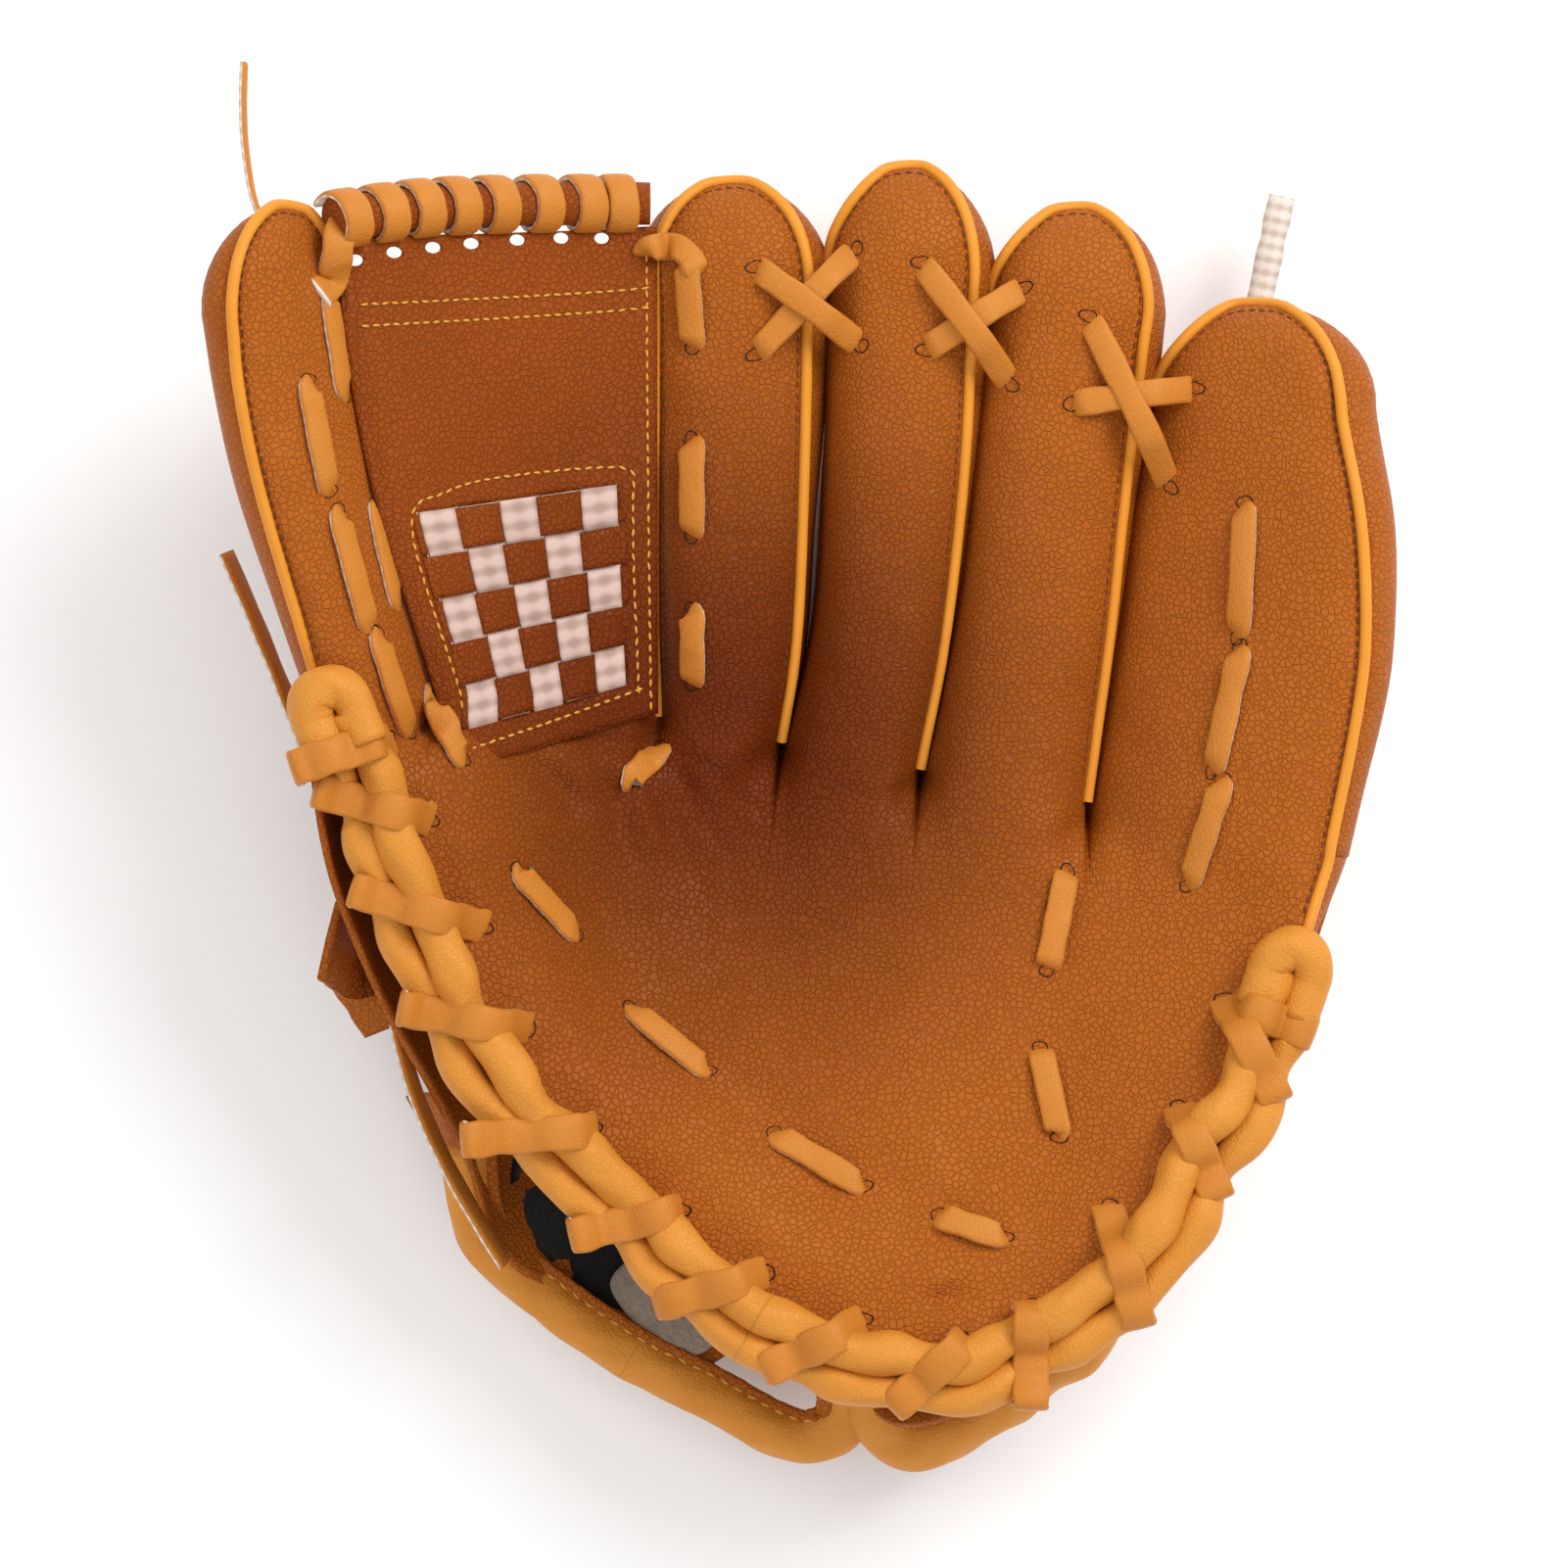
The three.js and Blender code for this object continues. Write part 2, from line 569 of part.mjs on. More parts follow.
const WINDOW = { left: 0.13, right: 0.88, bottom: 0.07, top: 0.49 };
const stripEdge = (k) => lerp(WINDOW.bottom, WINDOW.top, k / WEB_STRIPS);
const webHeight = (u) => webPoint(u, 1, 0).distanceTo(webPoint(u, 0, 0));
const slits = Array.from({ length: WEB_STRIPS + 1 }, (_, k) => {
  const side = (offset) => (s, t) => {
    const u = lerp(WINDOW.left, WINDOW.right, t);
    const half = WEB_SLIT_WIDTH / 2 / webHeight(u);
    return webPoint(u, stripEdge(k) + (2 * s - 1) * half, offset);
  };
  return sheet(1, 4, side(5), side(-5));
});
const webSide = (offset) => (u, v) => webPoint(u, v, offset);
const webSheet = sheet(6, 6, webSide(WEB_THICKNESS / 2), webSide(-WEB_THICKNESS / 2));
add("web_panel", cut(webSheet, [...slits, slotsOf(barLace), slotsOf(edgeLaces.thumb)]), "leather");
add("web_top_bar", roll(barPath, WEB_BAR_RADIUS, 8, 6), "leather");
add("web_top_lace", laceOf(barLace), "lace");

// Tapes run up the web, over one strip and under the next, and change over in the slits.
for (let column = 0; column < WEB_STRIPS; column++) {
  const u = lerp(WINDOW.left, WINDOW.right, (column + 0.5) / WEB_STRIPS);
  const half = WEB_SLIT_WIDTH / 2 / webHeight(u);
  const lift = WEB_THICKNESS / 2 + TAPE_THICKNESS / 2 + 2.2;
  const stations = [[stripEdge(0) - 2.2 * half, -lift], [stripEdge(0) - 0.9 * half, -lift]];
  for (let k = 0; k < WEB_STRIPS; k++) {
    const level = (k + column) % 2 === 0 ? lift : -lift;
    stations.push([stripEdge(k) + 0.9 * half, level], [stripEdge(k + 1) - 0.9 * half, level]);
  }
  const lastEdge = stripEdge(WEB_STRIPS);
  stations.push([lastEdge + 0.9 * half, -lift], [lastEdge + 2.2 * half, -lift]);
  const points = stations.map(([v, level]) => webPoint(u, v, level));
  const sides = stations.map(([v]) => webPoint(u + 0.02, v, 0).sub(webPoint(u - 0.02, v, 0)));
  add(`web_tape_${column + 1}`, strip(points, sides, TAPE_WIDTH, TAPE_THICKNESS), "tape");
}

// ---- wrist strap --------------------------------------------------------------------------

// A strap in plan view: it follows the back at a drop below it, its width square to its path.
function strapSheet(pairs, width, drop, thickness) {
  const path = along(pairs);
  const place = (depth) => (u, v) => {
    const point = path(v).add(STRAP_ACROSS.clone().multiplyScalar((u - 0.5) * width));
    return point.setZ(Math.max(backZ(point.x, point.y) - depth, STRAP_THICKNESS - depth + drop));
  };
  return sheet(3, 4, place(drop), place(drop + thickness));
}

const STRAP_ACROSS = vec(0.64, 0.77);
const STRAP_DROP = 0.8;
const BAND_PATH = [[-62, -82], [-70, -71], [-79, -61], [-87, -52.5]];
const TAB_PATH = [[-90, -49.5], [-97, -42.5], [-105, -35.5], [-112, -29]];
const band = strapSheet(BAND_PATH, STRAP_WIDTH, STRAP_DROP, STRAP_THICKNESS);
add("wrist_strap_band", band, "leather");
add("hook_patch", strapSheet(TAB_PATH.slice(0, 3), STRAP_WIDTH - 6, 1, 1.2), "hook");
add("wrist_strap_tab", strapSheet(TAB_PATH, STRAP_WIDTH - 2, 2.6, STRAP_THICKNESS), "leather");

// ---- free lace ends -----------------------------------------------------------------------

const TAILS = {
  lace_tail_thumb_tip: [[-124, 134, 74], [-126.6, 141, 74], [-129, 152, 74], [-130.4, 163, 74.5], [-130.8, 172.5, 75]],
  lace_tail_thumb_side: [[-113, -4, 40], [-118, 10, 44], [-124, 29, 47], [-130, 47, 50], [-135, 62, 52]],
  lace_tail_wrist: [[-97, -56, 52], [-91, -68, 51], [-83.5, -82, 50], [-76, -95, 49], [-70.5, -105, 48]],
  lace_tail_little: [[102, 106, 17], [104.5, 116, 18], [107, 126, 19], [109.5, 136, 20], [111.8, 145, 21]],
  lace_tail_heel: [[64, -121, 22], [56, -128, 20], [48, -136, 17], [40, -143, 14], [32.5, -149.5, 12]],
};
for (const [name, places] of Object.entries(TAILS)) {
  const points = places.map(([x, y, z]) => vec(x, y, z));
  add(name, roll(points, LACE_WIDTH / 2 - 0.4, 8, 8), "lace");
}

export default glove;
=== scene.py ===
"""Fielder's baseball glove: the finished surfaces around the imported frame."""

from __future__ import annotations

import logging
import math
from dataclasses import dataclass, field
from enum import Enum

import bmesh
import bpy
import numpy as np
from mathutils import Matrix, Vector
from mathutils.bvhtree import BVHTree

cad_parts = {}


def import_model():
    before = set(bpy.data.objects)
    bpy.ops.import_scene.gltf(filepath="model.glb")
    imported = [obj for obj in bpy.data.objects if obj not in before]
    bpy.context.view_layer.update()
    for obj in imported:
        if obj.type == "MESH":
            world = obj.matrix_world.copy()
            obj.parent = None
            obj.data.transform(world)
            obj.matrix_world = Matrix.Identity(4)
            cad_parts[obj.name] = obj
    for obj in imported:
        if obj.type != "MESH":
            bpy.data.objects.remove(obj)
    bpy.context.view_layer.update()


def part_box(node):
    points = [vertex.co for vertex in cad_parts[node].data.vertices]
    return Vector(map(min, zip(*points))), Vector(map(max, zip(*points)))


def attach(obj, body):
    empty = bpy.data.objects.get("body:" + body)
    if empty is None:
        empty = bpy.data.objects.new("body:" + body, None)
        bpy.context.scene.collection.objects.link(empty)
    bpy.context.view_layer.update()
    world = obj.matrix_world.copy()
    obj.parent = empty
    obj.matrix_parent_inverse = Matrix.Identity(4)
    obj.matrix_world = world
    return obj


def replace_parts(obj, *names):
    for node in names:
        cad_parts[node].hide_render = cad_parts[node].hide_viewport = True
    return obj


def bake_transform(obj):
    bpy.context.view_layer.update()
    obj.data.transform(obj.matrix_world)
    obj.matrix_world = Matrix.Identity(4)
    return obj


LOG = logging.getLogger("glove")
MM = 0.001  # lengths below are in millimetres until a mesh is made

Point = tuple[float, float]
Point3 = tuple[float, float, float]


class Body(Enum):
    """Bodies that a piece can ride on."""

    PALM = "palm"
    THUMB = "thumb_side"
    LITTLE = "little_side"
    TAB = "strap_tab"


# ---- colour and node helpers ----------------------------------------------------------------


def linear(hex_colour: str) -> tuple[float, float, float, float]:
    """Turn an sRGB hex colour into linear RGBA.

    Args:
        hex_colour: colour such as "#a8581f".

    Returns:
        Linear red, green, blue and an alpha of 1.
    """
    channels = [int(hex_colour[i : i + 2], 16) / 255 for i in (1, 3, 5)]
    r, g, b = ((c / 12.92) if c <= 0.04045 else ((c + 0.055) / 1.055) ** 2.4 for c in channels)
    return (r, g, b, 1.0)


def add_node(tree: bpy.types.NodeTree, kind: str, links: dict | None = None, **settings) -> bpy.types.Node:
    """Add a node with its settings, values and links.

    Args:
        tree: node tree that gets the node.
        kind: node type name.
        links: input name or index to an output socket, or to a plain value.
        **settings: properties of the node.

    Returns:
        The new node.
    """
    made = tree.nodes.new(kind)
    for name, value in settings.items():
        setattr(made, name, value)
    for name, value in (links or {}).items():
        if isinstance(value, bpy.types.NodeSocket):
            tree.links.new(value, made.inputs[name])
        else:
            made.inputs[name].default_value = value
    return made


# ---- finishes -------------------------------------------------------------------------------


@dataclass(frozen=True)
class Finish:
    """A surface finish: colours, roughness and the size of its grain."""

    name: str
    base: str
    dark: str
    roughness: float = 0.5
    grain_mm: float = 1.5
    bump_mm: float = 0.12
    sheen: float = 0.0
    specular: float = 0.4

    def start(self) -> tuple[bpy.types.Material, bpy.types.NodeTree, bpy.types.Node]:
        """Make the material and its shader with the constant values set on the shader's sockets.

        Returns:
            The material, its node tree and its Principled shader.
        """
        material = bpy.data.materials.new(self.name)
        material.use_nodes = True
        tree = material.node_tree
        shader = tree.nodes["Principled BSDF"]
        shader.inputs["Roughness"].default_value = self.roughness
        shader.inputs["Specular IOR Level"].default_value = self.specular
        shader.inputs["Sheen Weight"].default_value = self.sheen
        material.diffuse_color = linear(self.base)
        return material, tree, shader

    def emboss(self, tree: bpy.types.NodeTree, shader: bpy.types.Node, height: bpy.types.NodeSocket,
               strength: float) -> None:
        """Turn a height into the grain of the surface."""
        bump = add_node(
            tree, "ShaderNodeBump", {"Height": height, "Strength": strength, "Distance": self.bump_mm * MM}
        )
        tree.links.new(bump.outputs["Normal"], shader.inputs["Normal"])

    def colour(self, tree: bpy.types.NodeTree, shader: bpy.types.Node, factor: bpy.types.NodeSocket,
               low: str, high: str) -> None:
        """Colour the surface from one colour to another by a factor."""
        mixed = add_node(
            tree, "ShaderNodeMix", {"Factor": factor, 6: linear(low), 7: linear(high)}, data_type="RGBA"
        )
        tree.links.new(mixed.outputs[2], shader.inputs["Base Color"])


@dataclass(frozen=True)
class PebbledLeather(Finish):
    """Polyurethane-coated leather, embossed with a pebble grain: satin, with fine dark creases, their darkness partly
    painted shade.

    The pocket is coloured darker towards its centre: partly burnish from the ball and handling, partly painted shade
    for the pocket's hollow.
    """

    # Pocket colour: part burnish, part painted shade of the pocket's hollow.
    pocket_burnish_and_shade: str = "#642301"
    pocket_mm: Point3 = (-15.0, 18.0, 40.0)
    pocket_reach_mm: float = 118.0

    def build(self) -> bpy.types.Material:
        """Make the material.

        Returns:
            The finished material.
        """
        material, tree, shader = self.start()
        place = add_node(tree, "ShaderNodeTexCoord").outputs["Object"]
        warp = add_node(tree, "ShaderNodeTexNoise", {"Vector": place, "Scale": 140.0, "Detail": 2.0})
        bent = add_node(
            tree, "ShaderNodeMix", {"Factor": 0.0012, 4: place, 5: warp.outputs["Color"]},
            data_type="VECTOR",
        )
        cells = add_node(
            tree, "ShaderNodeTexVoronoi",
            {"Vector": bent.outputs[1], "Scale": 1000 / self.grain_mm},
            feature="DISTANCE_TO_EDGE",
        )
        creases = add_node(
            tree, "ShaderNodeMapRange", {"Value": cells.outputs["Distance"], 1: 0.0, 2: 0.16, 3: 0.0, 4: 1.0}
        )
        fine = add_node(
            tree, "ShaderNodeTexNoise", {"Vector": place, "Scale": 2200 / self.grain_mm, "Detail": 3.0}
        )
        folds = add_node(
            tree, "ShaderNodeTexNoise",
            {"Vector": place, "Scale": 150.0 / self.grain_mm, "Detail": 4.0, "Roughness": 0.6},
        )
        height = add_node(
            tree, "ShaderNodeMath", {0: fine.outputs["Fac"], 1: 0.35, 2: creases.outputs[0]},
            operation="MULTIPLY_ADD",
        )
        height = add_node(
            tree, "ShaderNodeMath", {0: folds.outputs["Fac"], 1: 1.6, 2: height.outputs[0]},
            operation="MULTIPLY_ADD",
        )
        self.emboss(tree, shader, height.outputs[0], 0.9)
        # Painted shade: the base colour darkens towards the pocket centre, standing in for the shade in the hollow as
        # well as burnish.
        centre = add_node(
            tree, "ShaderNodeVectorMath", {0: place, 1: tuple(c * MM for c in self.pocket_mm)},
            operation="DISTANCE",
        )
        reach = add_node(
            tree, "ShaderNodeMapRange",
            {"Value": centre.outputs["Value"], 1: 0.008, 2: self.pocket_reach_mm * MM, 3: 0.95, 4: 0.0},
            interpolation_type="SMOOTHSTEP",
        )
        patches = add_node(
            tree, "ShaderNodeTexNoise", {"Vector": place, "Scale": 28.0, "Detail": 4.0}
        )
        mottled = add_node(
            tree, "ShaderNodeMix",
            {"Factor": patches.outputs["Fac"], 6: linear(self.base), 7: linear(self.dark)},
            data_type="RGBA",
        )
        burnished_and_shaded = add_node(
            tree, "ShaderNodeMix",
            {"Factor": reach.outputs[0], 6: mottled.outputs[2], 7: linear(self.pocket_burnish_and_shade)},
            data_type="RGBA",
        )
        # Grain crease lines, partly painted shade: the colour darkens where the bump sinks between the pebbles.
        line = add_node(
            tree, "ShaderNodeMapRange",
            {"Value": cells.outputs["Distance"], 1: 0.0, 2: 0.1, 3: 0.78, 4: 1.0},
        )
        creased_and_shaded = add_node(
            tree, "ShaderNodeMix",
            {"Factor": 1.0, 6: burnished_and_shaded.outputs[2], 7: line.outputs[0]},
            data_type="RGBA", blend_type="MULTIPLY",
        )
        tree.links.new(creased_and_shaded.outputs[2], shader.inputs["Base Color"])
        return material


@dataclass(frozen=True)
class SmoothLeather(Finish):
    """Soft split leather, dyed through and finely grained, as on piping, binding and lacing."""

    def build(self) -> bpy.types.Material:
        """Make the material.

        Returns:
            The finished material.
        """
        material, tree, shader = self.start()
        place = add_node(tree, "ShaderNodeTexCoord").outputs["Object"]
        cells = add_node(
            tree, "ShaderNodeTexVoronoi", {"Vector": place, "Scale": 1000 / self.grain_mm},
            feature="DISTANCE_TO_EDGE",
        )
        creases = add_node(
            tree, "ShaderNodeMapRange", {"Value": cells.outputs["Distance"], 1: 0.0, 2: 0.2, 3: 0.0, 4: 1.0}
        )
        wrinkles = add_node(
            tree, "ShaderNodeTexNoise", {"Vector": place, "Scale": 260.0, "Detail": 5.0, "Distortion": 0.6}
        )
        height = add_node(
            tree, "ShaderNodeMath", {0: wrinkles.outputs["Fac"], 1: 2.4, 2: creases.outputs[0]},
            operation="MULTIPLY_ADD",
        )
        self.emboss(tree, shader, height.outputs[0], 0.5)
        patches = add_node(tree, "ShaderNodeTexNoise", {"Vector": place, "Scale": 60.0, "Detail": 4.0})
        self.colour(tree, shader, patches.outputs["Fac"], self.base, self.dark)
        return material


@dataclass(frozen=True)
class WovenCloth(Finish):
    """Plain-woven cloth or tape: threads over and under each other, matt with a slight sheen."""

    thread_mm: float = 0.6
    rib: float = 0.5  # how much taller the weft is than the warp

    def build(self) -> bpy.types.Material:
        """Make the material.

        Returns:
            The finished material.
        """
        material, tree, shader = self.start()
        place = add_node(tree, "ShaderNodeUVMap", uv_map="UVMap").outputs["UV"]
        waves = []
        for direction in ("X", "Y"):
            # One wave is one thread: the UV map is in metres along and across the cloth.
            waves.append(
                add_node(
                    tree, "ShaderNodeTexWave",
                    {"Vector": place, "Scale": 1000 / self.thread_mm / 20, "Distortion": 0.4, "Detail": 1.0},
                    bands_direction=direction,
                ).outputs["Fac"]
            )
        woven = add_node(
            tree, "ShaderNodeMath", {0: waves[0], 1: self.rib, 2: waves[1]}, operation="MULTIPLY_ADD"
        )
        self.emboss(tree, shader, woven.outputs[0], 0.8)
        # Painted shade: the colour darkens where the weave sinks, the same threads shown darker in their hollows.
        painted_weave_shade = add_node(
            tree, "ShaderNodeMapRange", {"Value": woven.outputs[0], 1: 0.2, 2: 1.1, 3: 0.0, 4: 1.0}
        )
        self.colour(tree, shader, painted_weave_shade.outputs[0], self.dark, self.base)
        return material


@dataclass(frozen=True)
class Pile(Finish):
    """Knitted plush or fleece with a short brushed pile: soft, mottled and matt."""

    def build(self) -> bpy.types.Material:
        """Make the material.

        Returns:
            The finished material.
        """
        material, tree, shader = self.start()
        place = add_node(tree, "ShaderNodeTexCoord").outputs["Object"]
        tufts = add_node(
            tree, "ShaderNodeTexNoise", {"Vector": place, "Scale": 900 / self.grain_mm, "Detail": 6.0}
        )
        self.emboss(tree, shader, tufts.outputs["Fac"], 1.0)
        self.colour(tree, shader, tufts.outputs["Fac"], self.dark, self.base)
        return material


FINISHES: dict[str, Finish] = {
    "leather": PebbledLeather("pebbled_pu_leather", "#b5641f", "#a55412", 0.46, 1.5, 0.24, 0.0, 0.13),
    "web_leather": PebbledLeather("web_pebbled_leather", "#9c4c14", "#8a3f0d", 0.48, 1.5, 0.24, 0.0, 0.12),
    "piping": SmoothLeather("corded_leather_piping", "#e29433", "#d58725", 0.42, 0.9, 0.05, 0.0, 0.2),
    "binding": SmoothLeather("soft_rolled_binding_leather", "#d9913a", "#cb802a", 0.42, 1.3, 0.2, 0.0, 0.2),
    "lace": SmoothLeather("split_leather_lacing", "#ca8031", "#bd7326", 0.45, 1.3, 0.14, 0.0, 0.2),
    "lace_edge": WovenCloth("cloth_backing_of_lacing", "#e6dcd2", "#c9b9a8", 0.8, 1.0, 0.06, thread_mm=0.5),
    "tape": WovenCloth("ribbed_polyester_tape", "#cdb1a4", "#a88a7c", 0.7, 1.0, 0.12, 0.2, thread_mm=0.7),
    "thread": SmoothLeather("bonded_nylon_thread", "#dba344", "#c98c2e", 0.5, 0.4, 0.02),
    "brown_thread": SmoothLeather("brown_nylon_thread", "#6a3512", "#55280c", 0.55, 0.4, 0.02),
    # Painted shade: a near-black finish for the shade inside each punched hole.
    "hole": SmoothLeather("shadowed_punched_hole", "#150c07", "#0b0604", 0.9, 1.0, 0.02),
    "fleece": Pile("brushed_fleece_lining", "#b3a597", "#877867", 0.95, 1.4, 0.5, 0.4),
    "plush": Pile("black_plush_lining", "#0e0b0b", "#050404", 0.95, 1.4, 0.5, 0.3),
    "foam": Pile("open_cell_foam_padding", "#d9d3c4", "#c4bcaa", 0.95, 1.0, 0.2),
    "hook": Pile("hook_and_loop_tape", "#1c1a19", "#0e0d0d", 0.9, 0.8, 0.4),
}
_made_finishes: dict[str, bpy.types.Material] = {}


def finish_of(name: str) -> bpy.types.Material:
    """The material of a named finish, made once."""
    if name not in _made_finishes:
        _made_finishes[name] = FINISHES[name].build()
    return _made_finishes[name]


# ---- the glove's form -----------------------------------------------------------------------


def rise(distance: np.ndarray, softness: float = 12.0) -> np.ndarray:
    """A slope of 1 that starts softly at distance 0."""
    return np.where(distance > 0, np.hypot(distance, softness) - softness, 0.0)


@dataclass(frozen=True)
class Form:
    """Heights of the catching surface and of the back, over plan position, in millimetres."""

    pocket_z: float = 42.0
    pocket_dip: float = 12.0
    pocket_centre: Point = (-14.0, -6.0)
    pocket_radius: float = 30.0

    def thumb_crease(self, y: np.ndarray) -> np.ndarray:
        """X of the crease that the thumb side folds along."""
        return -38.5 + (147 - y) * 0.0118

    def little_crease(self, y: np.ndarray) -> np.ndarray:
        """X of the crease that the little-finger side folds along."""
        return 43.2 + (y + 125) * 0.168

    def front(self, x: np.ndarray, y: np.ndarray) -> np.ndarray:
        """Height of the catching surface."""
        x, y = np.asarray(x, float), np.asarray(y, float)
        dx, dy = x - self.pocket_centre[0], y - self.pocket_centre[1]
        dip = self.pocket_dip * np.exp(-(dx**2 + (dy * 0.8) ** 2) / self.pocket_radius**2)
        return (
            self.pocket_z
            + 0.78 * rise(self.thumb_crease(y) - x)
            + 0.47 * rise(x - self.little_crease(y))
            + 0.3 * rise(-20 - y)
            + 0.1 * rise(y - 20)
            - dip
        )

    def back(self, x: np.ndarray, y: np.ndarray) -> np.ndarray:
        """Height of the outside of the back."""
        x, y = np.asarray(x, float), np.asarray(y, float)
        return (
            rise(self.thumb_crease(y) - x - 8)
            + 0.9 * rise(x - self.little_crease(y) - 8)
            + 0.35 * rise(-70 - y)
            + 0.18 * rise(y - 10)
        )


FORM = Form()


def smooth_curve(points: list, count: int) -> np.ndarray:
    """Points spaced evenly along a smooth curve through the given ones.

    Args:
        points: two- or three-dimensional points.
        count: how many points to return.

    Returns:
        Array of count points.
    """
    p = np.asarray(points, float)
    p = np.vstack([2 * p[0] - p[1], p, 2 * p[-1] - p[-2]])
    dense = []
    for a, b, c, d in zip(p, p[1:], p[2:], p[3:]):
        for t in np.linspace(0, 1, 24, endpoint=False):
            dense.append(
                0.5 * (2 * b + (c - a) * t + (2 * a - 5 * b + 4 * c - d) * t**2 + (3 * b - a - 3 * c + d) * t**3)
            )
    dense = np.array([*dense, p[-2]])
    lengths = np.r_[0, np.cumsum(np.linalg.norm(np.diff(dense, axis=0), axis=1))]
    wanted = np.linspace(0, lengths[-1], count)
    return np.stack([np.interp(wanted, lengths, dense[:, k]) for k in range(p.shape[1])], axis=1)


# ---- meshes ---------------------------------------------------------------------------------


def make_object(name: str, vertices: np.ndarray, faces: list, finishes: list[str],
                face_finish: list[int] | None = None, uvs: np.ndarray | None = None) -> bpy.types.Object:
    """Make a mesh object in place, in metres, smooth shaded.

    Args:
        name: object name.
        vertices: positions in millimetres.
        faces: vertex indices of each face.
        finishes: finish of each material slot.
        face_finish: material slot of each face.
        uvs: a position in metres on the cloth for each vertex.

    Returns:
        The new object.
    """
    mesh = bpy.data.meshes.new(name)
    mesh.from_pydata((np.asarray(vertices) * MM).tolist(), [], faces)
    for finish in finishes:
        mesh.materials.append(finish_of(finish))
    if face_finish is not None:
        mesh.polygons.foreach_set("material_index", face_finish)
    mesh.polygons.foreach_set("use_smooth", [True] * len(mesh.polygons))
    if uvs is not None:
        layer = mesh.uv_layers.new(name="UVMap")
        corners = np.empty(len(mesh.loops), dtype=np.int32)
        mesh.loops.foreach_get("vertex_index", corners)
        layer.data.foreach_set("uv", np.asarray(uvs, np.float32)[corners].ravel())
    mesh.update()
    made = bpy.data.objects.new(name, mesh)
    bpy.context.scene.collection.objects.link(made)
    return made


def grid_faces(rows: int, columns: int, start: int = 0, wrap: bool = False) -> list[tuple[int, ...]]:
    """Quads of a grid of rows by columns vertices, wrapped round its columns if asked."""
    faces = []
    for j in range(rows - 1):
        for i in range(columns if wrap else columns - 1):
            k = (i + 1) % columns
            faces.append(
                (start + j * columns + i, start + j * columns + k,
                 start + (j + 1) * columns + k, start + (j + 1) * columns + i)
            )
    return faces


def capped_tube(rings: np.ndarray) -> list[tuple[int, ...]]:
    """Faces of a tube through rings of vertices, closed at both ends."""
    count = rings.shape[1]
    end = count * (len(rings) - 1)
    faces = grid_faces(len(rings), count, wrap=True)
    return [*faces, tuple(range(count))[::-1], tuple(range(end, end + count))]


def outward(piece: bpy.types.Object) -> bpy.types.Object:
    """Merge doubles and turn a piece's faces outwards."""
    bm = bmesh.new()
    bm.from_mesh(piece.data)
    bmesh.ops.remove_doubles(bm, verts=bm.verts, dist=1e-6)
    bmesh.ops.recalc_face_normals(bm, faces=bm.faces)
    bm.to_mesh(piece.data)
    bm.free()
    return piece


def thicken(piece: bpy.types.Object, thickness_mm: float, offset: float = -1.0) -> bpy.types.Object:
    """Give a sheet its thickness, below its face by default."""
    wall = piece.modifiers.new("thickness", "SOLIDIFY")
    wall.thickness = thickness_mm * MM
    wall.offset = offset
    wall.use_even_offset = False
    return piece


def fixed_noise(points: np.ndarray, scale_mm: float, seed: int) -> np.ndarray:
    """Smooth repeatable noise from -1 to 1: a sum of sines with fixed directions.

    Args:
        points: positions in millimetres, one per row.
        scale_mm: size of a bump.
        seed: which set of directions to use.

    Returns:
        A value for each point.
    """
    rng = np.random.default_rng(seed)
    total = np.zeros(len(points))
    waves = 9
    for _ in range(waves):
        direction = rng.normal(size=points.shape[1])
        direction *= 2 * math.pi / (scale_mm * rng.uniform(1.2, 2.6)) / np.linalg.norm(direction)
        total += np.sin(points @ direction + rng.uniform(0, 2 * math.pi))
    return total / math.sqrt(waves)


FRAMES = 20
FILLING_PRESSURE = 160.0  # swells a roll by a few tenths of a millimetre at most
LEATHER_MASS = 0.02  # kg for each vertex


def fill_out(piece: bpy.types.Object, held: list[int], cap_mm: float = 1.2) -> bpy.types.Object:
    """Let the leather of a roll fill out under the pressure of its filling, by cloth simulation.

    Args:
        piece: a closed roll.
        held: vertices that the lacing and the seams hold in place.
        cap_mm: how far a point may move.

    Returns:
        The same piece, with the result in its mesh.
    """
    piece.vertex_groups.new(name="held").add(held, 1.0, "REPLACE")
    cloth = piece.modifiers.new("filling", "CLOTH")
    cloth.point_cache.frame_start, cloth.point_cache.frame_end = 1, FRAMES
    cloth.settings.mass = LEATHER_MASS
    cloth.settings.quality = 6
    cloth.settings.use_pressure = True
    cloth.settings.uniform_pressure_force = FILLING_PRESSURE
    cloth.settings.effector_weights.gravity = 0.0
    cloth.settings.vertex_group_mass = "held"
    for frame in range(1, FRAMES + 1):
        bpy.context.scene.frame_set(frame)
    count = len(piece.data.vertices)
    rest, moved = np.empty(3 * count), np.empty(3 * count)
    piece.data.vertices.foreach_get("co", rest)
    piece.evaluated_get(bpy.context.evaluated_depsgraph_get()).data.vertices.foreach_get("co", moved)
    move = (moved - rest).reshape(-1, 3)
    length = np.linalg.norm(move, axis=1, keepdims=True)
    LOG.info("%s filled out by up to %.2f mm", piece.name, length.max() / MM)
    move *= np.minimum(1.0, cap_mm * MM / np.maximum(length, 1e-9))
    piece.modifiers.remove(cloth)
    piece.vertex_groups.clear()
    piece.data.vertices.foreach_set("co", (rest.reshape(-1, 3) + move).ravel())
    piece.data.update()
    bpy.context.scene.frame_set(1)
    return piece


# ---- stalls: the shape of each finger -------------------------------------------------------

SEAM_TIP, SEAM_ROOT = math.radians(38), math.radians(20)  # where the front and back panels of a stall meet
HIDDEN_SEAM = math.radians(8)  # on a side that has no piping
FULLNESS = 0.85


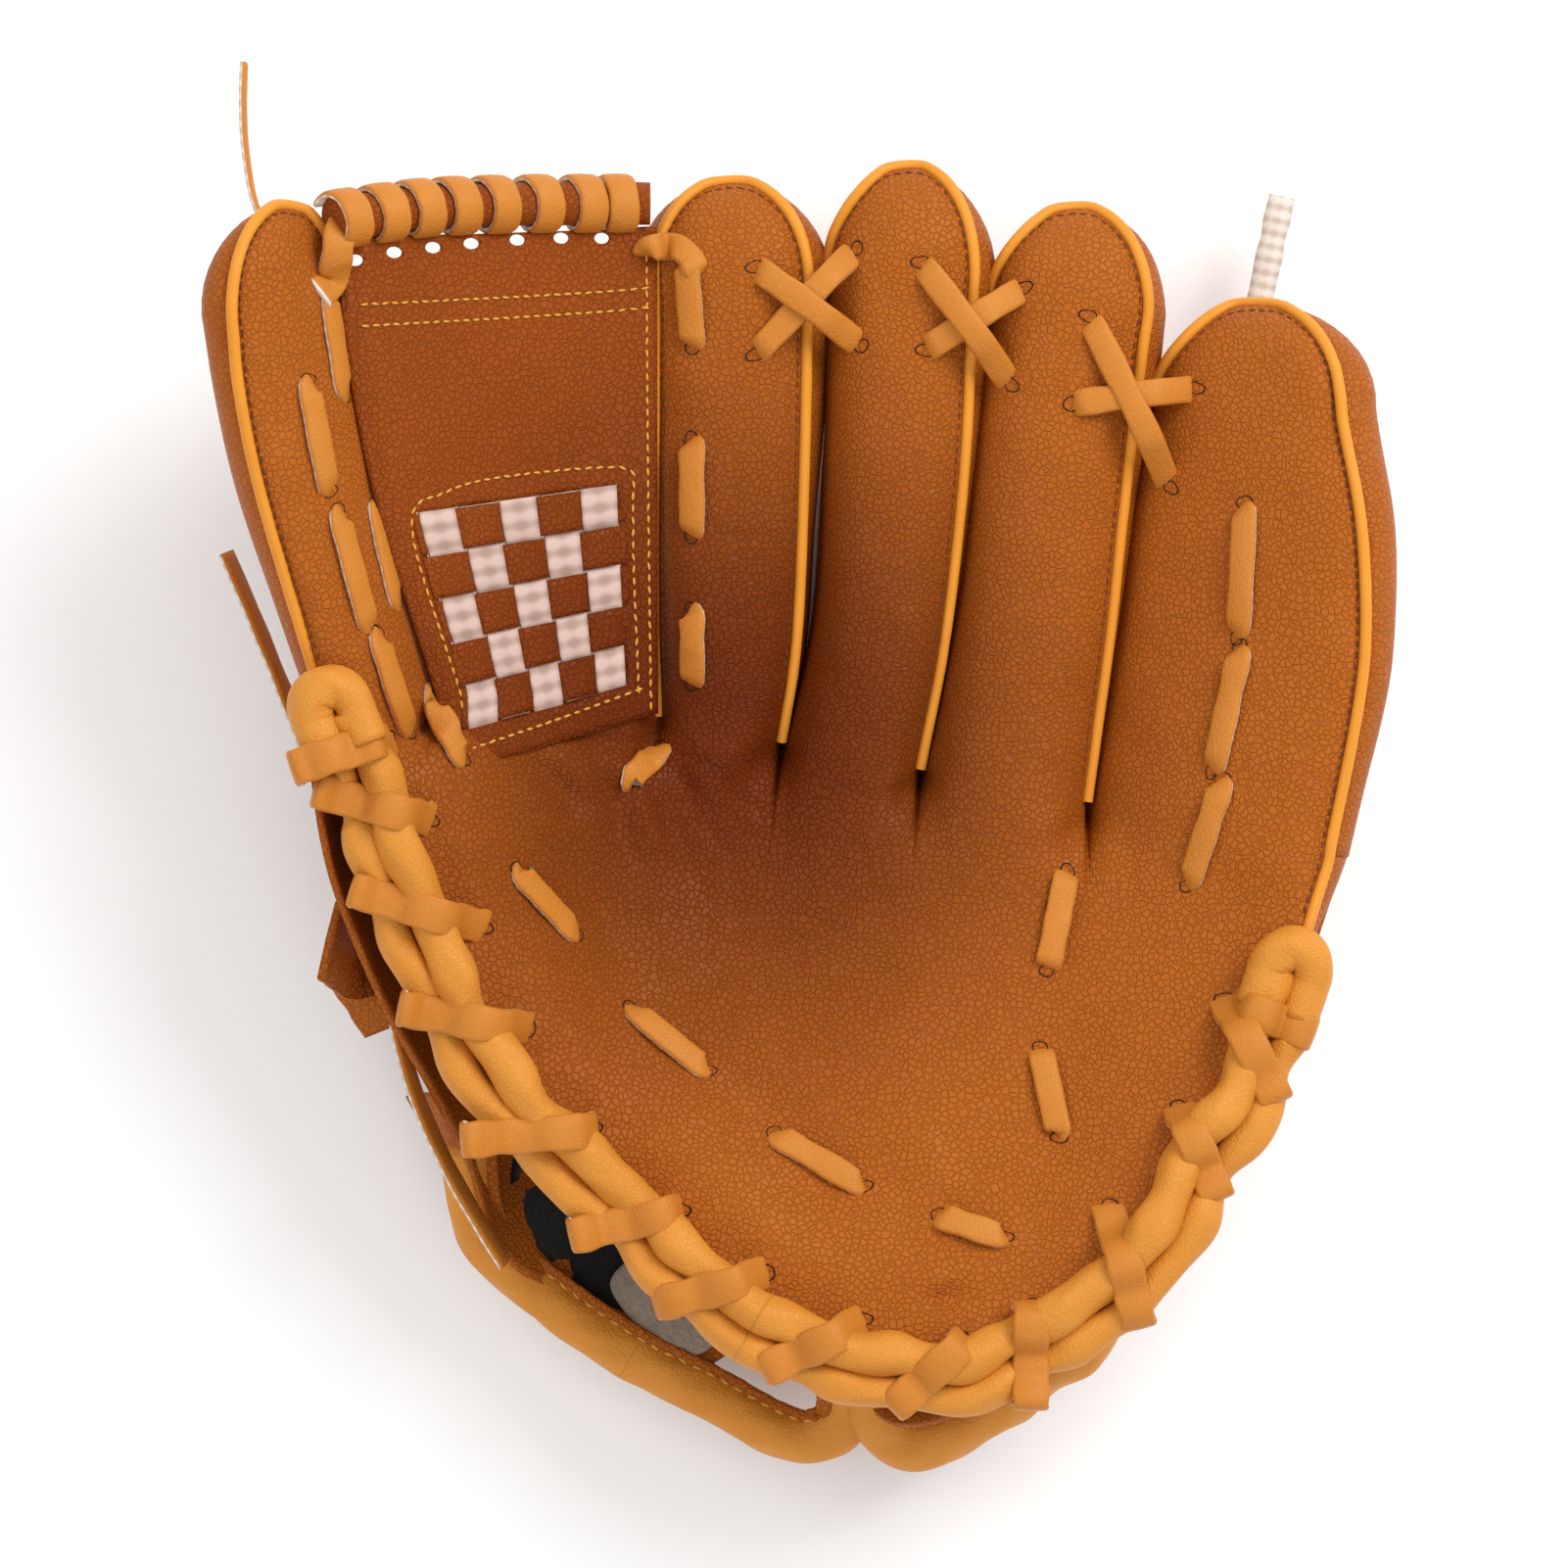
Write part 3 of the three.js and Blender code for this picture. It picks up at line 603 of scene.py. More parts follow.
def base_y(x: np.ndarray) -> np.ndarray:
    """Y of the line that the stalls start from."""
    return np.where(x < -37, 24 + 0.05 * (-37 - x), 24 - 0.205 * (x + 37))


def power(value: np.ndarray) -> np.ndarray:
    """Signed power that makes a stall's section boxier than an ellipse."""
    return np.sign(value) * np.abs(value) ** FULLNESS


@dataclass(frozen=True)
class Stall:
    """A finger or thumb stall: its outline rows (y, left, right) up to the start of its rounded end."""

    name: str
    body: Body
    rows: tuple[Point3, ...]
    tip: float
    piped: str = "right"
    back_bulge: float = 1.0

    def seams(self, y: np.ndarray) -> tuple[np.ndarray, np.ndarray]:
        """Angles of the right and the left seam at height y."""
        t = np.clip((np.asarray(y, float) - self.rows[0][0]) / (self.tip - self.rows[0][0]), 0, 1)
        open_seam = SEAM_ROOT + (SEAM_TIP - SEAM_ROOT) * np.clip(t / 0.75, 0, 1)
        # A hidden seam comes round to meet the piping where the end of the stall is rounded.
        start = (self.rows[-1][0] - self.rows[0][0]) / (self.tip - self.rows[0][0])
        turn = np.clip((t - start) / (1 - start), 0, 1)
        hidden = HIDDEN_SEAM + (SEAM_TIP - HIDDEN_SEAM) * turn * turn * (3 - 2 * turn)
        right = hidden if self.piped == "left" else open_seam
        left = hidden if self.piped == "right" else open_seam
        return right, math.pi - left

    def front_point(self, y: np.ndarray, t: np.ndarray) -> np.ndarray:
        """Points of the front panel: t goes from 0 at the left seam to 1 at the right seam."""
        right, left = self.seams(y)
        return self.point(y, left + (right - left) * t)

    def section(self, y: np.ndarray) -> tuple[np.ndarray, np.ndarray, np.ndarray]:
        """Middle, half width and scale of the section at height y."""
        dense = smooth_curve(self.rows, 80)
        left, right = (np.interp(y, dense[:, 0], dense[:, k]) for k in (1, 2))
        start = self.rows[-1][0]
        t = np.clip((y - start) / (self.tip - start), 0, 1)
        scale = np.sqrt(1 - t**2)
        return (left + right) / 2, (right - left) / 2 * scale, scale

    def point(self, y: np.ndarray, angle: np.ndarray, inset: float = 0.0) -> np.ndarray:
        """Points of the stall's surface: angle 0 is its right side, a quarter turn is its front."""
        y, angle = np.broadcast_arrays(np.asarray(y, float), np.asarray(angle, float))
        middle, half, scale = self.section(y)
        depth = (FORM.front(middle, y) - FORM.back(middle, y)) / 2 * scale
        x = middle + (half - inset) * power(np.cos(angle))
        z = (FORM.front(x, y) + FORM.back(x, y)) / 2 + (depth - inset) * power(np.sin(angle))
        start = self.rows[0][0]
        fade = np.clip(1 - (y - start) / (self.tip - start), 0, 1)
        return np.stack([x, y + (base_y(x) - base_y(middle)) * fade, z], axis=-1)

    def heights(self, count: int, domed: int = 10) -> np.ndarray:
        """Y of each row: evenly up to the rounded end, then closer and closer."""
        start = self.rows[-1][0]
        straight = np.linspace(self.rows[0][0], start, count, endpoint=False)
        turn = np.linspace(0, math.pi / 2 * 0.985, domed)
        return np.r_[straight, start + (self.tip - start) * np.sin(turn)]


STALLS = {
    s.name: s
    for s in (
        Stall("thumb", Body.THUMB,
              ((27.4, -110.2, -82.4), (70, -122.8, -95.1), (95, -128.2, -100.1), (112, -129.9, -102.6)),
              137.5, "left", 7.0),
        Stall("index", Body.PALM,
              ((20.6, -35, -5.4), (45, -36.3, -1.2), (86, -37.5, 1.9), (124, -38.9, 4.2)), 148, "both", 2.6),
        Stall("middle", Body.PALM,
              ((14.4, -5.3, 27.2), (45, 1.5, 33.5), (86, 4.1, 39), (127, 5.4, 42)), 151.5, "right", 3.2),
        Stall("ring", Body.PALM,
              ((7.3, 27.4, 66.4), (45, 34.4, 72.3), (75, 38, 76.2), (118, 42.8, 82.6)), 142, "right", 2.2),
        Stall("little", Body.LITTLE, ((-3.8, 66.2, 121), (25.7, 70.4, 128.1), (45, 73.4, 131), (70, 76.4, 130.7),
                                      (95, 81.2, 126.3)), 119.5, "right", 7.5),
    )
}

HEEL_LINE = (
    (-106.4, 23.4), (-98.3, 3.1), (-95.6, -7.0), (-85.7, -32.9), (-71.5, -59.9), (-56.5, -76.7),
    (-41.2, -91.4), (-15.3, -114.8), (7.2, -124.0), (24.1, -127.8), (39.8, -126.2), (57.8, -117.2),
    (78.1, -101.5), (89.3, -81.2), (101.7, -62.1), (110.7, -36.2),
)

PALM_CREASES = (  # start, end, depth and half width of each crease in the palm skin
    ((-41, 12), (-20, -22), 0.9, 1.6), ((-36, 15), (-14, -12), 0.7, 1.4), ((-30, 14), (-6, 0), 0.6, 1.4),
    ((-69, 13), (-46, 1), 2.2, 3.0), ((-50, 14), (-38, -14), 1.8, 3.0), ((-62, 17), (-36, 19), 1.4, 2.4),
    ((-4, -24), (18, -30), 0.5, 1.6), ((8, -36), (34, -38), 0.5, 1.8), ((24, -113), (42, -108), 1.6, 2.4),
    ((30, -118), (37, -100), 1.2, 2.0), ((40, 4), (52, -16), 0.6, 1.6), ((64, -2), (70, -20), 0.7, 1.8),
    ((-6, 22), (-13, 4), 2.2, 3.2),
    ((26.5, 13), (23, 0), 2.0, 2.8), ((64, 3), (61, -9), 1.8, 2.8), ((-34, 20), (-26, -8), 1.6, 3.6),
)


def relief(points: np.ndarray) -> np.ndarray:
    """How far the skin is pushed out from its plain form: soft lumps, the heel pad, and creases.

    Args:
        points: positions in plan, one per row.

    Returns:
        A height for each point.
    """
    xy = points[:, :2]
    height = 0.5 * fixed_noise(xy, 26, 3) + 0.22 * fixed_noise(xy, 11, 8) + 0.1 * fixed_noise(xy, 5.5, 21)
    heel = smooth_curve(HEEL_LINE, 90)
    away = np.linalg.norm(xy[:, None] - heel[None], axis=2)
    near, along = away.min(axis=1), away.argmin(axis=1) / 89
    pad = np.clip(np.interp(along, [0, 0.12, 0.45, 0.6, 0.75, 1], [0, 1, 1, 0.6, 0.2, 0.2]), 0, 1)
    height += pad * (3.2 * np.exp(-(((near - 20) / 9.5) ** 2)) - 2.0 * np.exp(-(((near - 40) / 8) ** 2)))
    for start, end, depth, width in PALM_CREASES:
        a, d = np.array(start, float), np.subtract(end, start).astype(float)
        t = np.clip(((xy - a) @ d) / (d @ d), 0, 1)
        bend = 1.5 * np.sin(2 * math.pi * t) * np.array([[-d[1], d[0]]]).T / np.linalg.norm(d)
        gap = np.linalg.norm(xy - a - t[:, None] * d - bend.T, axis=1)
        taper = np.sin(math.pi * np.clip(t, 0.04, 0.96))
        height -= depth * taper * np.exp(-((gap / width) ** 2))
        height += 0.55 * depth * taper * np.exp(-(((gap - 2.2 * width) / (1.3 * width)) ** 2))
    return height


@dataclass
class FrontSkin:
    """The catching surface: one leather skin from the heel to the fingertips, valleys between the fingers."""

    across: int = 18
    palm_rows: int = 84
    finger_rows: int = 44
    heel_shares: tuple[float, ...] = (0.0, 0.055, 0.33, 0.45, 0.47, 0.56, 0.58, 0.72, 0.745, 1.0)
    crown_fade: float = 15.0

    def crotch_row(self) -> tuple[np.ndarray, dict[str, slice], list[int]]:
        """Points along the line that the stalls start from, and where each stall and gap is in it."""
        turn = np.linspace(0, 1, self.across + 1)
        parts, places, edges = [], {}, []
        count = 0
        for name, stall in STALLS.items():
            row = stall.front_point(np.full(turn.shape, stall.rows[0][0]), turn)
            if parts:
                last, first = parts[-1][-1], row[0]
                wide = name == "index"
                t = np.linspace(0, 1, 32 if wide else 6)[1:-1, None]
                gap = last + (first - last) * t
                if wide:  # the web's root lies almost level
                    ends = np.minimum(t[:, 0], 1 - t[:, 0])
                    level = FORM.front(gap[:, 0], gap[:, 1]) - 2.5
                    gap[:, 2] += (level - gap[:, 2]) * np.clip(ends / 0.1, 0, 1)
                else:
                    gap[:, 2] -= 4.0 * np.sin(math.pi * t[:, 0])
                    gap[:, 1] -= 1.5 * np.sin(math.pi * t[:, 0])
                parts.append(gap)
                count += len(gap)
            edges += [count, count + len(row) - 1]
            places[name] = slice(count, count + len(row))
            parts.append(row)
            count += len(row)
        return np.vstack(parts), places, edges

    def build(self) -> dict[str, tuple[np.ndarray, list, np.ndarray]]:
        """Vertices, faces and vertex normals of the left and the right half, split in the palm."""
        top, places, edges = self.crotch_row()
        shares = np.interp(np.arange(len(top)), edges, self.heel_shares)
        heel = smooth_curve(HEEL_LINE, 400)
        foot = np.stack([np.interp(shares, np.linspace(0, 1, 400), heel[:, k]) for k in range(2)], axis=1)
        drop = top[:, 2] - FORM.front(top[:, 0], top[:, 1])
        rows = []
        for v in np.linspace(0, 1, self.palm_rows) ** 0.8:
            xy = foot + (top[:, :2] - foot) * v
            away = np.linalg.norm(top[:, :2] - xy, axis=1)
            sharp = np.clip(-drop - 7, 0, None)
            z = FORM.front(xy[:, 0], xy[:, 1])
            z += (drop + sharp) * np.exp(-((away / self.crown_fade) ** 2)) - sharp * np.exp(-((away / 9) ** 2))
            rows.append(np.column_stack([xy, z]))
        width = len(top)
        vertices = np.vstack(rows)
        faces = grid_faces(self.palm_rows, width)
        owner = [("palm", f[0] % width) for f in faces]
        base = (self.palm_rows - 1) * width
        turn = np.linspace(0, 1, self.across + 1)
        for name, stall in STALLS.items():
            heights = stall.heights(self.finger_rows)[1:]
            grid = stall.front_point(heights[:, None], turn[None, :]).reshape(-1, 3)
            start = len(vertices)
            vertices = np.vstack([vertices, grid])
            first = [base + k for k in range(places[name].start, places[name].stop)]
            faces += [
                (first[i], first[i + 1], start + i + 1, start + i) for i in range(self.across)
            ]
            faces += grid_faces(len(heights), self.across + 1, start)
            owner += [(name, 0)] * (self.across + self.across * (len(heights) - 1))
        vertices[:, 2] += relief(vertices)
        corners = vertices[np.array(faces)]
        face_normals = np.cross(corners[:, 2] - corners[:, 0], corners[:, 3] - corners[:, 1])
        normals = np.zeros_like(vertices)
        for k in range(4):
            np.add.at(normals, np.array(faces)[:, k], face_normals)
        normals /= np.linalg.norm(normals, axis=1, keepdims=True) + 1e-12
        middle = places["middle"].stop + 2
        halves = {}
        for side in ("left", "right"):
            kept = [
                f for f, (part, column) in zip(faces, owner)
                if (part in ("thumb", "index", "middle") or (part == "palm" and column < middle)) == (side == "left")
            ]
            used = np.unique(np.array(kept))
            renumber = {old: new for new, old in enumerate(used)}
            halves[side] = (vertices[used], [tuple(renumber[i] for i in f) for f in kept], normals[used])
        return halves


def keep_normals(piece: bpy.types.Object, normals: np.ndarray) -> None:
    """Give a mesh the vertex normals of the skin that it was cut from, so that its cut edge doesn't show."""
    piece.data.normals_split_custom_set_from_vertices(normals.tolist())


@dataclass
class Ground:
    """The outer surface that laces, stitches and holes lie on."""

    trees: list[BVHTree] = field(default_factory=list)

    def include(self, piece: bpy.types.Object) -> None:
        """Add a finished piece's surface."""
        vertices = [v.co / MM for v in piece.data.vertices]
        self.trees.append(BVHTree.FromPolygons(vertices, [tuple(p.vertices) for p in piece.data.polygons]))

    def hit(self, x: float, y: float) -> tuple[Vector, Vector]:
        """Highest point above plan position (x, y), and the surface's normal there."""
        best, normal = Vector((x, y, float(FORM.front(x, y)))), Vector((0, 0, 1))
        found = False
        for tree in self.trees:
            place, face_normal, _, _ = tree.ray_cast(Vector((x, y, 200)), Vector((0, 0, -1)))
            if place is not None and (not found or place.z > best.z):
                best, normal, found = place, face_normal, True
        return best, normal if normal.z > 0 else -normal


# ---- swept pieces ---------------------------------------------------------------------------


def frames_along(points: np.ndarray, ups: np.ndarray) -> tuple[np.ndarray, np.ndarray, np.ndarray]:
    """Tangent, side and up directions at each point of a path."""
    tangents = np.gradient(points, axis=0)
    tangents /= np.linalg.norm(tangents, axis=1, keepdims=True)
    sides = np.cross(tangents, ups)
    sides /= np.linalg.norm(sides, axis=1, keepdims=True)
    return tangents, sides, np.cross(sides, tangents)


@dataclass(frozen=True)
class Lace:
    """Flat lacing: leather face, cloth back and slightly rounded edges."""

    width: float = 6.3
    thickness: float = 1.5

    def section(self) -> list[Point]:
        """Outline of the lace, side and up, from the left edge over the face."""
        half, t = self.width / 2, self.thickness
        return [
            (-half, -0.1 * t), (-half + 0.25, 0.32 * t), (-half + 0.9, 0.5 * t), (0, 0.58 * t), (half - 0.9, 0.5 * t),
            (half - 0.25, 0.32 * t), (half, -0.1 * t), (half - 0.1, -0.5 * t), (-half + 0.1, -0.5 * t),
        ]

    def make(self, name: str, points: np.ndarray, ups: np.ndarray) -> tuple[np.ndarray, list, list[int], np.ndarray]:
        """Sweep the lace along a path.

        Args:
            name: seeds the small waviness of its edges.
            points: path.
            ups: direction of the leather face at each point.

        Returns:
            Vertices, faces, finish slot of each face, and positions on the cloth.
        """
        _, sides, normals = frames_along(points, ups)
        outline = self.section()
        seed = sum(ord(c) for c in name)
        wave = 1 + 0.035 * fixed_noise(np.arange(len(points))[:, None] * 1.0, 5, seed)
        vertices, uvs = [], []
        run = np.r_[0, np.cumsum(np.linalg.norm(np.diff(points, axis=0), axis=1))]
        for k, point in enumerate(points):
            for s, n in outline:
                vertices.append(point + sides[k] * s * wave[k] + normals[k] * n)
                uvs.append((s * MM, run[k] * MM))
        count = len(outline)
        faces = grid_faces(len(points), count, wrap=True)
        slots = [1 if i % count in (6, 7, 8) else 0 for i in range(len(faces))]
        end = count * (len(points) - 1)
        faces += [tuple(range(count))[::-1], tuple(range(end, end + count))]
        slots += [1, 1]
        return np.array(vertices), faces, slots, np.array(uvs)


@dataclass
class LaceWork:
    """Laces collected into one object for a body."""

    name: str
    lace: Lace = field(default_factory=Lace)
    vertices: list = field(default_factory=list)
    faces: list = field(default_factory=list)
    slots: list = field(default_factory=list)
    uvs: list = field(default_factory=list)

    def add(self, points: np.ndarray, ups: np.ndarray) -> None:
        """Add one run of lace."""
        start = sum(len(v) for v in self.vertices)
        vertices, faces, slots, uvs = self.lace.make(f"{self.name}{start}", points, ups)
        self.vertices.append(vertices)
        self.faces += [tuple(i + start for i in f) for f in faces]
        self.slots += slots
        self.uvs.append(uvs)

    def over(self, ground: Ground, start: Point, end: Point, lift: float = 0.9, bow: float = 1.2,
             crossing: float = 0.0) -> None:
        """Add a run that comes up out of a hole, lies over the leather and goes down the next hole."""
        steps = 22
        a, b = np.array(start), np.array(end)
        d = (b - a) / np.linalg.norm(b - a)
        points, ups = [], []
        for k in range(steps + 1):
            t = k / steps
            xy = a + (b - a) * t
            place, normal = ground.hit(*xy)
            edge = min(t, 1 - t)
            rise_here = lift + bow * math.sin(math.pi * t) ** 0.7 + crossing * math.sin(math.pi * t) ** 4
            sink = 3.4 * max(0.0, 1 - edge / 0.1) ** 1.6
            points.append([*xy, place.z + rise_here * min(edge / 0.08, 1) - sink])
            ups.append(list(normal))
        points.insert(0, [*(a - d * 0.4), points[0][2] - 3.0])
        points.append([*(b + d * 0.4), points[-1][2] - 3.0])
        ups = [ups[0], *ups, ups[-1]]
        chord = np.array(points)
        inner = chord[2:-2, 2].copy()
        # A lace is too stiff to follow every dip, and one that crosses a valley spans it.
        for _ in range(400 if crossing else 2):
            inner[1:-1] = np.maximum(inner[1:-1], (inner[:-2] + inner[2:]) / 2)
        chord[2:-2, 2] = inner
        smooth_ups = np.array(ups)
        if crossing:
            smooth_ups[:] = (smooth_ups[0] + smooth_ups[-1]) / 2 + np.array([0, 0, 0.6])
        for _ in range(4):
            smooth_ups[1:-1] = (smooth_ups[:-2] + smooth_ups[1:-1] + smooth_ups[2:]) / 3
        self.add(chord, smooth_ups)

    def finish(self, thread: tuple[str, str] = ("lace", "lace_edge")) -> bpy.types.Object:
        """Make the object."""
        return make_object(
            self.name, np.vstack(self.vertices), self.faces, list(thread), self.slots, np.vstack(self.uvs)
        )


@dataclass
class Holes:
    """Punched holes: a dark mouth of painted shade with a slightly raised rim, pressed into the skin."""

    name: str
    centres: list = field(default_factory=list)

    def make(self, ground: Ground, radius: float = 1.9) -> bpy.types.Object:
        """Make every hole's dark mouth, painted shade, just above the surface that it is in."""
        vertices, faces = [], []
        for x, y in self.centres:
            place, normal = ground.hit(x, y)
            side = normal.cross(Vector((0, 1, 0))).normalized()
            other = normal.cross(side)
            start = len(vertices)
            vertices.append(place - normal * 0.5)
            for ring, depth in ((0.7, -0.2), (1.0, 0.22)):
                for k in range(16):
                    angle = 2 * math.pi * k / 16
                    edge = 1 + 0.14 * math.sin(2 * angle + x) + 0.08 * math.sin(3 * angle + y)
                    offset = side * math.cos(angle) * 1.05 + other * math.sin(angle) * 0.85
                    spot = place + offset * radius * ring * edge
                    spot.z = ground.hit(spot.x, spot.y)[0].z + depth
                    vertices.append(spot)
            faces += [(start, start + 1 + k, start + 1 + (k + 1) % 16) for k in range(16)]
            faces += grid_faces(2, 16, start + 1, wrap=True)
        return make_object(self.name, np.array([tuple(v) for v in vertices]), faces, ["hole"])


# ---- geometry nodes: round sweeps and stitches ----------------------------------------------


def carrier(name: str, lines: list[np.ndarray], closed: bool = False) -> bpy.types.Object:
    """A mesh of bare edges for Geometry Nodes to work along.

    Args:
        name: object name.
        lines: paths in millimetres.
        closed: whether each path joins up with its own start.

    Returns:
        The edge mesh.
    """
    vertices, edges = [], []
    for line in lines:
        start = len(vertices)
        vertices += (np.asarray(line) * MM).tolist()
        edges += [(start + k, start + k + 1) for k in range(len(line) - 1)]
        if closed:
            edges.append((start + len(line) - 1, start))
    mesh = bpy.data.meshes.new(name)
    mesh.from_pydata(vertices, edges, [])
    made = bpy.data.objects.new(name, mesh)
    bpy.context.scene.collection.objects.link(made)
    return made


def new_group(name: str, inputs: dict[str, tuple[str, float]]) -> tuple[bpy.types.NodeTree, bpy.types.Node]:
    """A Geometry Nodes group with a geometry input and output, and named inputs besides."""
    tree = bpy.data.node_groups.new(name, "GeometryNodeTree")
    tree.interface.new_socket("Geometry", in_out="INPUT", socket_type="NodeSocketGeometry")
    for label, (kind, value) in inputs.items():
        socket = tree.interface.new_socket(label, in_out="INPUT", socket_type=kind)
        if value is not None:
            socket.default_value = value
    tree.interface.new_socket("Geometry", in_out="OUTPUT", socket_type="NodeSocketGeometry")
    return tree, tree.nodes.new("NodeGroupInput")


def sweep_group() -> bpy.types.NodeTree:
    """Geometry Nodes: a round section swept along edges, its radius wavering a little."""
    tree, given = new_group(
        "RoundSweep",
        {"Radius": ("NodeSocketFloat", 0.001), "Waver": ("NodeSocketFloat", 0.05),
         "Waver scale": ("NodeSocketFloat", 90.0), "Sides": ("NodeSocketInt", 12),
         "Finish": ("NodeSocketMaterial", None)},
    )
    line = add_node(tree, "GeometryNodeMeshToCurve", {"Mesh": given.outputs["Geometry"]})
    position = add_node(tree, "GeometryNodeInputPosition")
    noise = add_node(
        tree, "ShaderNodeTexNoise",
        {"Vector": position.outputs[0], "Scale": given.outputs["Waver scale"], "Detail": 2.0},
    )
    swing = add_node(tree, "ShaderNodeMath", {0: noise.outputs["Fac"], 1: 0.5}, operation="SUBTRACT")
    factor = add_node(
        tree, "ShaderNodeMath", {0: swing.outputs[0], 1: given.outputs["Waver"], 2: 1.0}, operation="MULTIPLY_ADD"
    )
    radius = add_node(
        tree, "ShaderNodeMath", {0: factor.outputs[0], 1: given.outputs["Radius"]}, operation="MULTIPLY"
    )
    sized = add_node(
        tree, "GeometryNodeSetCurveRadius", {"Curve": line.outputs[0], "Radius": radius.outputs[0]}
    )
    profile = add_node(
        tree, "GeometryNodeCurvePrimitiveCircle", {"Resolution": given.outputs["Sides"], "Radius": 1.0}
    )
    swept = add_node(
        tree, "GeometryNodeCurveToMesh",
        {"Curve": sized.outputs[0], "Profile Curve": profile.outputs[0], "Fill Caps": True},
    )
    if "Scale" in swept.inputs:
        tree.links.new(radius.outputs[0], swept.inputs["Scale"])
    smooth = add_node(tree, "GeometryNodeSetShadeSmooth", {"Geometry": swept.outputs[0]})
    real = add_node(tree, "GeometryNodeRealizeInstances", {"Geometry": smooth.outputs[0]})
    painted = add_node(
        tree, "GeometryNodeSetMaterial", {"Geometry": real.outputs[0], "Material": given.outputs["Finish"]}
    )
    add_node(tree, "NodeGroupOutput", {"Geometry": painted.outputs[0]})
    return tree


def stitch_group() -> bpy.types.NodeTree:
    """Geometry Nodes: short thread stitches one after another along edges, tipped a little each way."""
    tree, given = new_group(
        "StitchRow",
        {"Pitch": ("NodeSocketFloat", 0.0027), "Length": ("NodeSocketFloat", 0.0021),
         "Radius": ("NodeSocketFloat", 0.00032), "Seed": ("NodeSocketInt", 4), "Finish": ("NodeSocketMaterial", None)},
    )
    line = add_node(tree, "GeometryNodeMeshToCurve", {"Mesh": given.outputs["Geometry"]})
    spots = add_node(
        tree, "GeometryNodeResampleCurve", {"Curve": line.outputs[0], "Length": given.outputs["Pitch"]}, mode="LENGTH"
    )
    tangent = add_node(tree, "GeometryNodeInputTangent")
    turned = add_node(
        tree, "FunctionNodeAlignEulerToVector", {"Vector": tangent.outputs[0]}, axis="X"
    )
    swing = add_node(
        tree, "FunctionNodeRandomValue", {"Seed": given.outputs["Seed"]}, data_type="FLOAT"
    )
    swing.inputs[2].default_value = -0.22
    swing.inputs[3].default_value = 0.22
    tip = add_node(tree, "ShaderNodeCombineXYZ", {"Z": swing.outputs[1]})
    rotated = add_node(
        tree, "FunctionNodeRotateEuler", {0: turned.outputs[0], 1: tip.outputs[0]}, rotation_type="EULER", space="LOCAL"
    )
    bead = add_node(tree, "GeometryNodeMeshUVSphere", {"Segments": 8, "Rings": 5, "Radius": 1.0})
    half = add_node(tree, "ShaderNodeMath", {0: given.outputs["Length"], 1: 0.5}, operation="MULTIPLY")
    shape = add_node(
        tree, "ShaderNodeCombineXYZ",
        {"X": half.outputs[0], "Y": given.outputs["Radius"], "Z": given.outputs["Radius"]},
    )
    placed = add_node(
        tree, "GeometryNodeInstanceOnPoints",
        {"Points": spots.outputs[0], "Instance": bead.outputs[0], "Rotation": rotated.outputs[0],
         "Scale": shape.outputs[0]},
    )
    real = add_node(tree, "GeometryNodeRealizeInstances", {"Geometry": placed.outputs[0]})
    smooth = add_node(tree, "GeometryNodeSetShadeSmooth", {"Geometry": real.outputs[0]})
    painted = add_node(
        tree, "GeometryNodeSetMaterial", {"Geometry": smooth.outputs[0], "Material": given.outputs["Finish"]}
    )
    add_node(tree, "NodeGroupOutput", {"Geometry": painted.outputs[0]})
    return tree


def run_group(base: bpy.types.Object, tree: bpy.types.NodeTree, finish: str, **values: float) -> bpy.types.Object:
    """Run a Geometry Nodes group on an edge mesh and keep its result as a plain mesh.

    Args:
        base: the edge mesh, which gets the result.
        tree: the group.
        finish: finish of the result.
        **values: the group's named inputs, with spaces as underscores.

    Returns:
        The object, its mesh replaced by the group's result.
    """
    modifier = base.modifiers.new(tree.name, "NODES")
    modifier.node_group = tree
    wanted = {label.replace("_", " "): value for label, value in values.items()}
    wanted["Finish"] = finish_of(finish)
    for item in tree.interface.items_tree:
        if item.item_type == "SOCKET" and item.in_out == "INPUT" and item.name in wanted:
            modifier[item.identifier] = wanted[item.name]
    bpy.context.view_layer.update()
    evaluated = base.evaluated_get(bpy.context.evaluated_depsgraph_get())
    mesh = bpy.data.meshes.new_from_object(evaluated)
    mesh.name = base.name
    base.modifiers.remove(modifier)
    old = base.data
    base.data = mesh
    bpy.data.meshes.remove(old)
    if not mesh.materials:
        mesh.materials.append(finish_of(finish))
    return base


# ---- sub-assemblies -------------------------------------------------------------------------


def bend_thumb(piece: bpy.types.Object) -> bpy.types.Object:
    """Bake the piece's placement into its mesh; it is not bent across the thumb crease."""
    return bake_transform(piece)


def bend_little(piece: bpy.types.Object) -> bpy.types.Object:
    """Bake the piece's placement into its mesh; it is not bent across the little-finger crease."""
    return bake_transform(piece)


def bend_to(piece: bpy.types.Object, body: Body) -> bpy.types.Object:
    """Bake a piece's placement if its body is the thumb side or the little-finger side, or let it ride on the palm."""
    if body is Body.THUMB:
        return bend_thumb(piece)
    if body is Body.LITTLE:
        return bend_little(piece)
    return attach(piece, Body.PALM.value)


